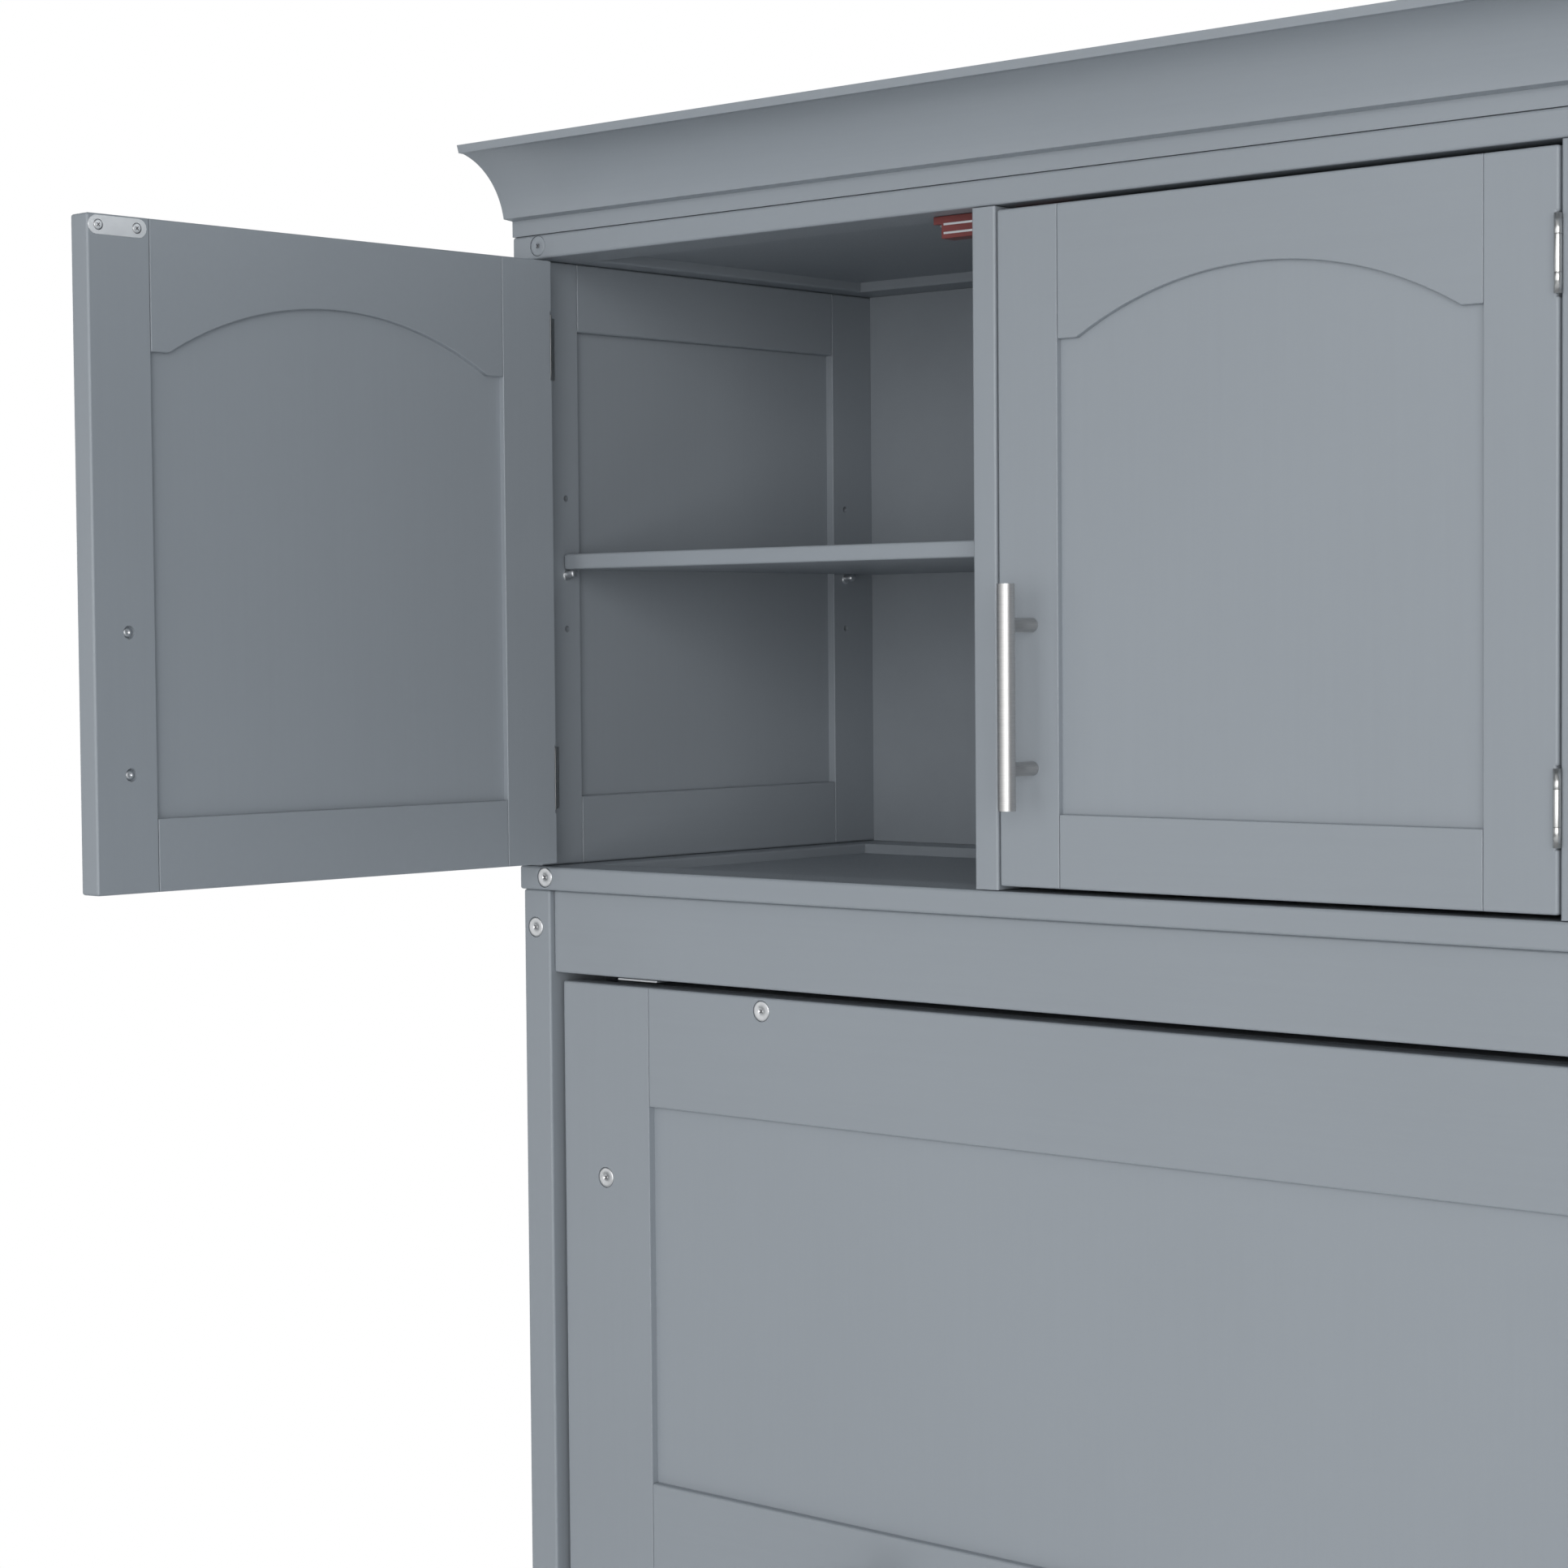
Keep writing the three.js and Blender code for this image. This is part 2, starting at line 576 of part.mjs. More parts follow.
// A strut's eye, turned to lie across the strut, on a strut that runs along +Y from its own origin.
function strutEye(y) {
  const half = STRUT_EYE_W / 2;
  const ring = rodAlongX(STRUT_EYE_R, -half, half, y, 0, 20);
  const hole = rodAlongX(STUD_R + 0.25, -half - 1, half + 1, y, 0, 16);
  return { ring, hole };
}

function strutTube() {
  const inner = 105;
  const outline = [
    new THREE.Vector2(0, 5),
    new THREE.Vector2(4, 5),
    new THREE.Vector2(STRUT_TUBE_R, 14),
    new THREE.Vector2(STRUT_TUBE_R, STRUT_TUBE_L),
    new THREE.Vector2(STRUT_BORE_R, STRUT_TUBE_L),
    new THREE.Vector2(STRUT_BORE_R, inner),
    new THREE.Vector2(0, inner),
  ];
  const { ring, hole } = strutEye(0);
  return cut(join(new THREE.LatheGeometry(outline, 24), ring), [hole]);
}

function strutRod(length) {
  const outline = [
    new THREE.Vector2(0, length - STRUT_ROD_L),
    new THREE.Vector2(STRUT_ROD_R, length - STRUT_ROD_L),
    new THREE.Vector2(STRUT_ROD_R, length - 5),
    new THREE.Vector2(0, length - 5),
  ];
  const { ring, hole } = strutEye(length);
  return cut(join(new THREE.LatheGeometry(outline, 16), ring), [hole]);
}

function foldingGear() {
  const dy = STRUT_FOOT.y - STRUT_TOP.y;
  const dz = STRUT_FOOT.z - STRUT_TOP.z;
  const length = Math.hypot(dy, dz);
  const along = new THREE.Vector3(0, dy / length, dz / length);
  for (const [name, side] of Object.entries({ left: -1, right: 1 })) {
    place(`pivot_plate_${name}`, pivotPlate(side), "zinc");
    place(`bed_bracket_${name}`, bedBracket(side), "zinc", bed);
    place(`bed_keeper_${name}`, bedKeeper(side), "zinc");
    const strut = new THREE.Group();
    strut.position.set(side * STRUT_X, STRUT_TOP.y, STRUT_TOP.z);
    strut.quaternion.setFromUnitVectors(new THREE.Vector3(0, 1, 0), along);
    wallBed.add(strut);
    place(`strut_tube_${name}`, strutTube(), "black", strut);
    place(`strut_rod_${name}`, strutRod(length), "steel", strut);
  }
}

// A leg: a square bar with a round top, hung on a cross pin just in front of the bed's underside.
function supportLeg(side) {
  const radius = LEG_D / 2;
  const shape = new THREE.Shape();
  shape.moveTo(LEG_PIVOT_Y - radius, LEG_PIVOT_Z - LEG_L);
  shape.lineTo(LEG_PIVOT_Y + radius, LEG_PIVOT_Z - LEG_L);
  shape.lineTo(LEG_PIVOT_Y + radius, LEG_PIVOT_Z);
  shape.absarc(LEG_PIVOT_Y, LEG_PIVOT_Z, radius, 0, Math.PI, false);
  const x = side * LEG_X;
  return prismAlongX(shape, x - LEG_W / 2, x + LEG_W / 2, 12);
}

hutchBoards();
place("hutch_side_left", hutchSide(-1), "paint");
place("hutch_side_right", hutchSide(1), "paint");
dividers();
shelves();
hutchBack();
cornice();
for (const [bay, hungOn] of Object.entries(DOOR_BAYS)) {
  cupboardDoor(Number(bay), hungOn);
}
carcass();
bedFrame();
foldingGear();
place("support_leg_left", supportLeg(-1), "paint", bed);
place("support_leg_right", supportLeg(1), "paint", bed);

export default wallBed;
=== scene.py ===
"""The looks of a wall bed with a row of cupboards above it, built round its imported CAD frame."""

import json
import math

import bmesh
import bpy
from mathutils import Matrix, Vector


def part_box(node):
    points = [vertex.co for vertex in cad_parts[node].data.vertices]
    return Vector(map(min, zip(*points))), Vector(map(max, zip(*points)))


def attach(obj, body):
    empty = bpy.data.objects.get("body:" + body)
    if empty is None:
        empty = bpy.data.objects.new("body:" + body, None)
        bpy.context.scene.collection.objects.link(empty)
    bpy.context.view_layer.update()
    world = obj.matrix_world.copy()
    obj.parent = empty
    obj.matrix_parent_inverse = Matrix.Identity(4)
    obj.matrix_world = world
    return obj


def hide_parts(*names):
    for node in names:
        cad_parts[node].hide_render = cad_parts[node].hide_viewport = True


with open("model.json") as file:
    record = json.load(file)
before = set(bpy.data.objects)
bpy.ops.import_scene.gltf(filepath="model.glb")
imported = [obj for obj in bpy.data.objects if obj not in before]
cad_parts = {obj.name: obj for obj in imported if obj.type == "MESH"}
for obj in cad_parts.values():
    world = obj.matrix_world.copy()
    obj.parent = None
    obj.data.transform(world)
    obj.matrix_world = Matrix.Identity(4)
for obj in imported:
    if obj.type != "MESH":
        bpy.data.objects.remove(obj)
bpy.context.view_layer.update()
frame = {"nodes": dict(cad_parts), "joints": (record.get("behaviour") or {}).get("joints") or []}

MM = 0.001
JOINTS = {joint["name"]: joint for joint in frame["joints"]}
BAYS = (1, 2, 3, 4, 5)
DOOR_BAYS = (1, 2, 4, 5)
DIVIDERS = (1, 2, 3, 4)
SIDES = {"left": -1, "right": 1}


# ---- Camera -------------------------------------------------------------------------------------


def make_camera():
    """The photograph's own viewpoint: right of the open door, at the height of the cupboards."""
    yaw, pitch, roll = math.radians(41.338), math.radians(2.413), math.radians(-0.468)
    forward = Vector((-math.sin(yaw) * math.cos(pitch), math.cos(yaw) * math.cos(pitch), -math.sin(pitch)))
    level = Vector((math.cos(yaw), math.sin(yaw), 0))
    upright = level.cross(forward)
    right = level * math.cos(roll) + upright * math.sin(roll)
    up = upright * math.cos(roll) - level * math.sin(roll)
    data = bpy.data.cameras.new("camera")
    data.sensor_width = 36
    data.lens = 75.912
    data.clip_start = 0.05
    data.clip_end = 60
    camera = bpy.data.objects.new("camera", data)
    turn = Matrix((right, up, -forward)).transposed().to_4x4()
    camera.matrix_world = Matrix.Translation((0.71728, -1.97550, 1.90603)) @ turn
    bpy.context.scene.collection.objects.link(camera)
    bpy.context.scene.camera = camera


make_camera()


# ---- Node helpers -------------------------------------------------------------------------------


def new_material(name, **sockets):
    """A material and its Principled shader, with the given sockets set to plain values."""
    material = bpy.data.materials.new(name)
    material.use_nodes = True
    shader = material.node_tree.nodes["Principled BSDF"]
    for socket, value in sockets.items():
        shader.inputs[socket.replace("_", " ")].default_value = value
    return material, shader


def node(tree, kind, sockets=None, **settings):
    made = tree.nodes.new(kind)
    for key, value in settings.items():
        setattr(made, key, value)
    for key, value in (sockets or {}).items():
        made.inputs[key].default_value = value
    return made


def noise(tree, scale, stretch=(1, 1, 1), detail=2.0, roughness=0.5):
    """A noise value in object space, in cells per metre, stretched by a scale on each axis."""
    where = node(tree, "ShaderNodeTexCoord")
    mapping = node(tree, "ShaderNodeMapping", {"Scale": stretch})
    made = node(tree, "ShaderNodeTexNoise", {"Scale": scale, "Detail": detail, "Roughness": roughness})
    tree.links.new(where.outputs["Object"], mapping.inputs["Vector"])
    tree.links.new(mapping.outputs["Vector"], made.inputs["Vector"])
    return made.outputs["Fac"]


def spread(tree, value, low, high, start=0.3, end=0.7):
    """The value's range from start to end, spread over low to high."""
    made = node(tree, "ShaderNodeMapRange", {1: start, 2: end, 3: low, 4: high})
    tree.links.new(value, made.inputs[0])
    return made.outputs[0]


def ramp(tree, value, stops):
    """A colour along a list of (place, colour) stops."""
    made = node(tree, "ShaderNodeValToRGB")
    elements = made.color_ramp.elements
    while len(elements) < len(stops):
        elements.new(0.5)
    for element, (place, colour) in zip(elements, stops):
        element.position = place
        element.color = (*colour, 1)
    tree.links.new(value, made.inputs[0])
    return made.outputs[0]


def bump(tree, shader, heights):
    """Stacks height values, as (value, depth in metres), under the shader's normal."""
    normal = None
    for value, depth in heights:
        made = node(tree, "ShaderNodeBump", {"Strength": 1.0, "Distance": depth})
        tree.links.new(value, made.inputs["Height"])
        if normal:
            tree.links.new(normal, made.inputs["Normal"])
        normal = made.outputs["Normal"]
    tree.links.new(normal, shader.inputs["Normal"])


def tinted(colour, share):
    return tuple(channel * share for channel in colour)


def along(axis, long_share):
    """Noise stretch for grain that runs along an axis: few cells along it, many across."""
    return tuple(long_share if name == axis else 1.0 for name in "xyz")


# ---- Materials ----------------------------------------------------------------------------------

PAINT = (0.315, 0.345, 0.377)


def paint(name, grain, colour=PAINT, roughness=0.38):
    """Satin sprayed lacquer on wood: slight orange peel, and grain that just shows through."""
    material, shader = new_material(name, Specular_IOR_Level=0.46)
    tree = material.node_tree
    clouds = noise(tree, 2.2, detail=3)
    fibres = noise(tree, 260, along(grain, 0.03), detail=3, roughness=0.6)
    peel = noise(tree, 620, detail=1)
    tone = node(tree, "ShaderNodeMath", operation="MULTIPLY_ADD")
    tone.inputs[1].default_value = 0.35
    tree.links.new(fibres, tone.inputs[0])
    tree.links.new(spread(tree, clouds, 0.1, 0.6), tone.inputs[2])
    stops = [(0.15, tinted(colour, 0.965)), (0.85, tinted(colour, 1.035))]
    tree.links.new(ramp(tree, tone.outputs[0], stops), shader.inputs["Base Color"])
    tree.links.new(spread(tree, peel, roughness - 0.05, roughness + 0.06), shader.inputs["Roughness"])
    bump(tree, shader, [(fibres, 0.00004), (peel, 0.000035)])
    return material


def board_paint():
    """Thin roller paint on hardboard: matt, with a soft mottle."""
    material, shader = new_material("painted_hardboard", Specular_IOR_Level=0.35)
    tree = material.node_tree
    mottle = noise(tree, 9, detail=4, roughness=0.6)
    pores = noise(tree, 900, detail=2)
    stops = [(0.3, tinted(PAINT, 0.93)), (0.7, tinted(PAINT, 1.02))]
    tree.links.new(ramp(tree, mottle, stops), shader.inputs["Base Color"])
    tree.links.new(spread(tree, pores, 0.5, 0.62), shader.inputs["Roughness"])
    bump(tree, shader, [(pores, 0.00006)])
    return material


def slat_wood():
    """Bare sanded pine with its growth lines across the bed's slats."""
    material, shader = new_material("sanded_pine", Specular_IOR_Level=0.3)
    tree = material.node_tree
    rings = noise(tree, 60, along("z", 0.06), detail=4, roughness=0.65)
    fibres = noise(tree, 500, along("z", 0.02), detail=2)
    stops = [
        (0.30, (0.56, 0.38, 0.20)),
        (0.46, (0.67, 0.50, 0.30)),
        (0.55, (0.72, 0.56, 0.36)),
        (0.72, (0.60, 0.42, 0.24)),
    ]
    tree.links.new(ramp(tree, rings, stops), shader.inputs["Base Color"])
    tree.links.new(spread(tree, fibres, 0.55, 0.72), shader.inputs["Roughness"])
    bump(tree, shader, [(fibres, 0.00012)])
    return material


def metal(name, colour, roughness, grain=None, lines=900, depth=0.00002):
    """Plated or ground steel. The grain axis is the one that its fine scratches run along."""
    material, shader = new_material(name, Metallic=1.0)
    tree = material.node_tree
    stretch = along(grain, 0.02) if grain else (1, 1, 1)
    scratches = noise(tree, lines, stretch, detail=3, roughness=0.7)
    bloom = noise(tree, 30, detail=3)
    stops = [(0.3, tinted(colour, 0.9)), (0.7, tinted(colour, 1.04))]
    tree.links.new(ramp(tree, bloom, stops), shader.inputs["Base Color"])
    tree.links.new(spread(tree, scratches, roughness - 0.07, roughness + 0.08), shader.inputs["Roughness"])
    bump(tree, shader, [(scratches, depth)])
    return material


def brushed_bar():
    """Stainless bar, brushed round its girth in fine rings."""
    material, shader = new_material("brushed_stainless", Metallic=1.0, Anisotropic=0.35)
    tree = material.node_tree
    rings = noise(tree, 60, (1, 1, 45), detail=4, roughness=0.75)
    stops = [(0.3, (0.46, 0.455, 0.45)), (0.7, (0.62, 0.615, 0.61))]
    tree.links.new(ramp(tree, rings, stops), shader.inputs["Base Color"])
    tree.links.new(spread(tree, rings, 0.34, 0.46), shader.inputs["Roughness"])
    bump(tree, shader, [(rings, 0.00002)])
    return material


def moulded(name, colour, roughness):
    """Moulded plastic or powder coat, with a fine even texture."""
    material, shader = new_material(name, Specular_IOR_Level=0.5)
    tree = material.node_tree
    grit = noise(tree, 1400, detail=2)
    drift = noise(tree, 40, detail=2)
    stops = [(0.3, tinted(colour, 0.88)), (0.7, tinted(colour, 1.1))]
    tree.links.new(ramp(tree, drift, stops), shader.inputs["Base Color"])
    tree.links.new(spread(tree, grit, roughness - 0.06, roughness + 0.08), shader.inputs["Roughness"])
    bump(tree, shader, [(grit, 0.00006)])
    return material


PAINT_ALONG = {axis: paint("satin_paint_" + axis, axis) for axis in "xyz"}
PAINT_PANEL = paint("satin_paint_panel", "z", tinted(PAINT, 1.02), 0.46)
BOARD = board_paint()
PINE = slat_wood()
STAINLESS = brushed_bar()
NICKEL = metal("satin_nickel", (0.72, 0.72, 0.71), 0.3, "z")
ZINC = metal("zinc_plate", (0.78, 0.80, 0.82), 0.42)
BRIGHT = metal("bright_zinc", (0.90, 0.91, 0.92), 0.36, None, 700, 0.00001)
# Dark metal that stands in for the shade inside screw and bolt recesses: painted shade.
PAINTED_SHADE = metal("screw_recess_painted_shade", (0.20, 0.20, 0.21), 0.5)
CHROME = metal("ground_chrome", (0.8, 0.8, 0.81), 0.14, "z", 700)
BLACK = moulded("black_powder_coat", (0.022, 0.023, 0.026), 0.42)
RED_BROWN = moulded("red_brown_plastic", (0.17, 0.035, 0.033), 0.4)


# ---- Mesh helpers -------------------------------------------------------------------------------

ARRIS = 1.9 * MM  # rounding of a free edge
JOINT_SHARE = 0.36  # how much of it an edge keeps where it meets a neighbour in a glued joint
INNER_SHARE = 0.5  # and along the opening round a panel
JOINT_GAP = 0.2 * MM
AXES = {"x": Vector((1, 0, 0)), "y": Vector((0, 1, 0)), "z": Vector((0, 0, 1))}
FLAT = math.radians(32)  # faces that meet at less than this shade as one surface
RIM = math.radians(60)
PANEL_ARRIS = 0.3 * MM
DRILL_STEPS = 20


def face_directions(names):
    """The directions in a string such as "-x+z"."""
    pairs = [names[i : i + 2] for i in range(0, len(names), 2)]
    return [AXES[pair[1]] * (-1 if pair[0] == "-" else 1) for pair in pairs]


def weigh_edges(bm, faces, joints, inner):
    """Marks how far each edge is rounded: fully, less at a joint or an opening, or not at all."""
    layers = bm.edges.layers.float
    layer = layers.get("bevel_weight_edge") or layers.new("bevel_weight_edge")
    glued, opening = face_directions(joints), face_directions(inner)
    for edge in {edge for face in faces for edge in face.edges}:
        normals = [face.normal for face in edge.link_faces]
        if normals[0].angle(normals[1]) < FLAT or not edge.is_convex:
            edge[layer] = 0.0
        elif any(normal.dot(way) > 0.99 for normal in normals for way in glued):
            edge[layer] = JOINT_SHARE
        elif any(normal.dot(way) > 0.5 for normal in normals for way in opening):
            edge[layer] = INNER_SHARE
        else:
            edge[layer] = 1.0


def prism(bm, outline, axis, low, high, joints="", inner=""):
    """Adds an outline, in the two other axes' order, as a solid between two values of an axis."""

    def corner(point, depth):
        a, b = point
        return {"x": (depth, a, b), "y": (a, depth, b), "z": (a, b, depth)}[axis]

    near = [bm.verts.new(corner(point, low)) for point in outline]
    far = [bm.verts.new(corner(point, high)) for point in outline]
    faces = [bm.faces.new(near), bm.faces.new(far[::-1])]
    for i in range(len(near)):
        j = (i + 1) % len(near)
        faces.append(bm.faces.new((near[i], far[i], far[j], near[j])))
    bmesh.ops.recalc_face_normals(bm, faces=faces)
    bm.normal_update()
    weigh_edges(bm, faces, joints, inner)


def block(bm, low, high, joints="", inner=""):
    """Adds a board between two corners. The faces named in joints stop just short of a neighbour."""
    ends = [sorted(pair) for pair in zip(low, high)]
    for way in face_directions(joints):
        axis = max(range(3), key=lambda n: abs(way[n]))
        side = 1 if way[axis] > 0 else 0
        ends[axis][side] -= way[axis] * JOINT_GAP
    (x0, x1), (y0, y1), (z0, z1) = ends
    prism(bm, [(x0, z0), (x1, z0), (x1, z1), (x0, z1)], "y", y0, y1, joints, inner)


def turned(bm, profile, centre, axis, steps=24):
    """Adds a closed turned solid. The profile is (radius, height) pairs, from axis back to axis."""
    spin = Vector((0, 0, 1)).rotation_difference(Vector(axis)).to_matrix()
    rings = []
    for radius, height in profile:
        count = 1 if radius == 0 else steps
        ring = []
        for step in range(count):
            angle = 2 * math.pi * step / steps
            point = Vector((radius * math.cos(angle), radius * math.sin(angle), height))
            ring.append(bm.verts.new(Vector(centre) + spin @ point))
        rings.append(ring)
    faces = []
    for low, high in zip(rings, rings[1:]):
        for step in range(steps):
            after = (step + 1) % steps
            lower = [low[step % len(low)], low[after % len(low)]]
            upper = [high[after % len(high)], high[step % len(high)]]
            corners = list(dict.fromkeys(lower + upper))
            if len(corners) > 2:
                faces.append(bm.faces.new(corners))
    bmesh.ops.recalc_face_normals(bm, faces=faces)


def shade_smooth(mesh):
    mesh.polygons.foreach_set("use_smooth", [True] * len(mesh.polygons))


def round_edges(obj, width, segments=2):
    """Rounds the weighed edges and keeps the flat faces flat in the shading."""
    rounding = obj.modifiers.new("arris", "BEVEL")
    rounding.width = width
    rounding.segments = segments
    rounding.limit_method = "WEIGHT"
    rounding.use_clamp_overlap = False
    keep_faces_flat(obj)


def keep_faces_flat(obj):
    flat = obj.modifiers.new("flat_faces", "WEIGHTED_NORMAL")
    flat.mode = "FACE_AREA"
    flat.weight = 100
    flat.keep_sharp = True


def piece(name, bm, material, body, width=ARRIS, place=None, segments=3):
    """Makes an object of a bmesh, riding on a body."""
    if place:
        bm.transform(place)
    mesh = bpy.data.meshes.new(name)
    bm.to_mesh(mesh)
    bm.free()
    shade_smooth(mesh)
    mesh.materials.append(material)
    obj = bpy.data.objects.new(name, mesh)
    bpy.context.scene.collection.objects.link(obj)
    if width:
        round_edges(obj, width, segments)
    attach(obj, body)
    return obj


def drill(obj, holes, place=None):
    """Cuts round holes, as (mouth, direction, radius, depth), out of a piece."""
    bm = bmesh.new()
    for mouth, direction, radius, depth in holes:
        profile = [(0, -depth / 2), (radius, -depth / 2), (radius, depth), (0, depth)]
        turned(bm, profile, mouth, direction, DRILL_STEPS)
    if place:
        bm.transform(place)
    mesh = bpy.data.meshes.new("drill")
    bm.to_mesh(mesh)
    bm.free()
    cutter = bpy.data.objects.new("drill", mesh)
    bpy.context.scene.collection.objects.link(cutter)
    obj.modifiers.remove(obj.modifiers["flat_faces"])
    cutting = obj.modifiers.new("holes", "BOOLEAN")
    cutting.object = cutter
    cutting.operation = "DIFFERENCE"
    cutting.solver = "EXACT"
    evaluated = obj.evaluated_get(bpy.context.evaluated_depsgraph_get())
    baked = bpy.data.meshes.new_from_object(evaluated)
    obj.modifiers.clear()
    obj.data = baked
    bpy.data.objects.remove(cutter)
    mark_sharp(baked)
    keep_faces_flat(obj)
    return obj


def mark_sharp(mesh):
    """Keeps the rims of drilled holes crisp."""
    bm = bmesh.new()
    bm.from_mesh(mesh)
    for edge in bm.edges:
        if len(edge.link_faces) == 2 and edge.calc_face_angle(0) > RIM:
            edge.smooth = False
    bm.to_mesh(mesh)
    bm.free()


def dress(name, material, width=ARRIS, segments=2):
    """Keeps a CAD node, with its edges rounded and a material of its own."""
    obj = frame["nodes"][name]
    obj.data.materials.clear()
    obj.data.materials.append(material)
    shade_smooth(obj.data)
    weld = obj.modifiers.new("weld", "WELD")
    weld.merge_threshold = 0.01 * MM
    merge = obj.modifiers.new("flat", "DECIMATE")
    merge.decimate_type = "DISSOLVE"
    merge.angle_limit = math.radians(0.5)
    if width:
        rounding = obj.modifiers.new("arris", "BEVEL")
        rounding.width = width
        rounding.segments = segments
        rounding.limit_method = "ANGLE"
        rounding.angle_limit = math.radians(50)
        rounding.use_clamp_overlap = True
    keep_faces_flat(obj)
    return obj


# ---- Framed panels ------------------------------------------------------------------------------

TONGUE = 4 * MM  # how far a panel runs into its frame


def spans(start, end, cuts):
    """The stretches between start and end that the cuts, as (low, high), leave free."""
    edges = [start] + [value for pair in cuts for value in pair] + [end]
    return list(zip(edges[::2], edges[1::2]))


# ---- Doors --------------------------------------------------------------------------------------

DOOR_FRAME = 50 * MM
DOOR_RECESS = 4.5 * MM
SHOULDER_Z = 365.5 * MM
SHOULDER_W = 15 * MM
ARCH_RISE = 38.5 * MM
HINGE_INSET = 40.5 * MM
HINGE_H = 47 * MM
MORTISE = 1.2 * MM
HANDLE_INSET = 28.5 * MM
HANDLE_Z = 128.3 * MM
HANDLE_SPREAD = 96 * MM
ARCH_STEPS = 40


class Door:
    """A door's sizes, in its own frame: hinge axis at x = 0 and y = 0, bottom edge at z = 0."""

    def __init__(self, bay):
        joint = JOINTS[f"door_{bay}_swing"]
        shut_low, shut_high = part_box("door_2")
        pivot = Vector(joint["pos_m"])
        opened = math.radians(-joint["range_deg"][0])
        self.body = f"door_{bay}"
        self.reach = 1 if joint["axis"][2] < 0 else -1
        self.width = shut_high.x - shut_low.x
        self.height = shut_high.z - shut_low.z
        self.face = shut_low.y - pivot.y
        self.back = shut_high.y - pivot.y
        self.hinge_edge = self.reach * abs(shut_high.x - JOINTS["door_2_swing"]["pos_m"][0])
        self.free_edge = self.hinge_edge + self.reach * self.width
        lift = Matrix.Translation((pivot.x, pivot.y, shut_low.z))
        self.place = lift @ Matrix.Rotation(opened, 4, Vector(joint["axis"]))

    def toward(self, sign):
        """The name of the side that faces the free edge (+1) or the hinge edge (-1)."""
        return "+x" if sign * self.reach > 0 else "-x"


def arch_points(left, right):
    """The underside of a door's top rail, from right to left: two flat shoulders and an arc."""
    middle = (left + right) / 2
    half_span = (right - left) / 2 - SHOULDER_W
    radius = (half_span**2 + ARCH_RISE**2) / (2 * ARCH_RISE)
    centre_z = SHOULDER_Z + ARCH_RISE - radius
    half_angle = math.asin(half_span / radius)
    points = [(right, SHOULDER_Z)]
    for step in range(ARCH_STEPS + 1):
        angle = half_angle * (1 - 2 * step / ARCH_STEPS)
        points.append((middle + radius * math.sin(angle), centre_z + radius * math.cos(angle)))
    return points + [(left, SHOULDER_Z)]


def notched_stile(door):
    """The outline of the hinge stile, with a mortise for each hinge in its edge."""
    edge = door.hinge_edge
    deep = edge + door.reach * MORTISE
    inner = edge + door.reach * DOOR_FRAME
    points = [(inner, 0), (edge, 0)]
    for low in (HINGE_INSET, door.height - HINGE_INSET - HINGE_H):
        z0, z1 = low - MM, low + HINGE_H + MM
        points += [(edge, z0), (deep, z0), (deep, z1), (edge, z1)]
    return points + [(edge, door.height), (inner, door.height)]


def door_frame(door):
    """The door's two stiles, its arched top rail, its bottom rail and its panel, by name."""
    inner_free = door.free_edge - door.reach * DOOR_FRAME
    inner_hinge = door.hinge_edge + door.reach * DOOR_FRAME
    left, right = sorted((inner_free, inner_hinge))
    made = {}

    def keep(part, bm, material, width=ARRIS):
        made[part] = piece(f"{door.body}_{part}", bm, material, door.body, width, door.place)

    bm = bmesh.new()
    prism(bm, notched_stile(door), "y", door.face, door.back, door.toward(1))
    keep("stile_hinge", bm, PAINT_ALONG["z"])
    bm = bmesh.new()
    block(bm, (inner_free, door.face, 0), (door.free_edge, door.back, door.height), door.toward(-1))
    keep("stile_free", bm, PAINT_ALONG["z"])
    bm = bmesh.new()
    near, far = left + JOINT_GAP, right - JOINT_GAP
    outline = [(near, door.height), (far, door.height)] + arch_points(near, far)
    prism(bm, outline, "y", door.face, door.back, "-x+x", "-z")
    keep("rail_top", bm, PAINT_ALONG["x"])
    bm = bmesh.new()
    block(bm, (left, door.face, 0), (right, door.back, DOOR_FRAME), "-x+x", "+z")
    keep("rail_bottom", bm, PAINT_ALONG["x"])
    bm = bmesh.new()
    top = SHOULDER_Z + ARCH_RISE + TONGUE
    low = (left - TONGUE, door.face + DOOR_RECESS, DOOR_FRAME - TONGUE)
    high = (right + TONGUE, door.back - DOOR_RECESS, top)
    block(bm, low, high)
    keep("panel", bm, PAINT_PANEL, PANEL_ARRIS)
    return made


STRIKE_L = 47 * MM
STRIKE_H = 13 * MM
STRIKE_T = 0.35 * MM
SINK_R = 3.7 * MM
HEAD_R = 3.3 * MM
HEAD_PROUD = 0.15 * MM
STRIKE_SCREW_INSET = 8 * MM
STRIKE_FROM_EDGE = 0.8 * MM
STRIKE_FROM_TOP = 1.2 * MM
SCREW_SINK = 3.4 * MM
SCREW_BORE_R = 4.6 * MM


def rounded_bar(length, height, steps=8):
    """The outline of a bar with round ends, about its middle."""
    radius = height / 2
    points = []
    for end in (1, -1):
        for step in range(steps + 1):
            angle = math.pi * (step / steps - 0.5)
            x = end * (length / 2 - radius + radius * math.cos(angle))
            points.append((x, end * radius * math.sin(angle)))
    return points


BOX_FACES = ((0, 1, 3, 2), (4, 6, 7, 5), (0, 4, 5, 1), (2, 3, 7, 6), (0, 2, 6, 4), (1, 5, 7, 3))


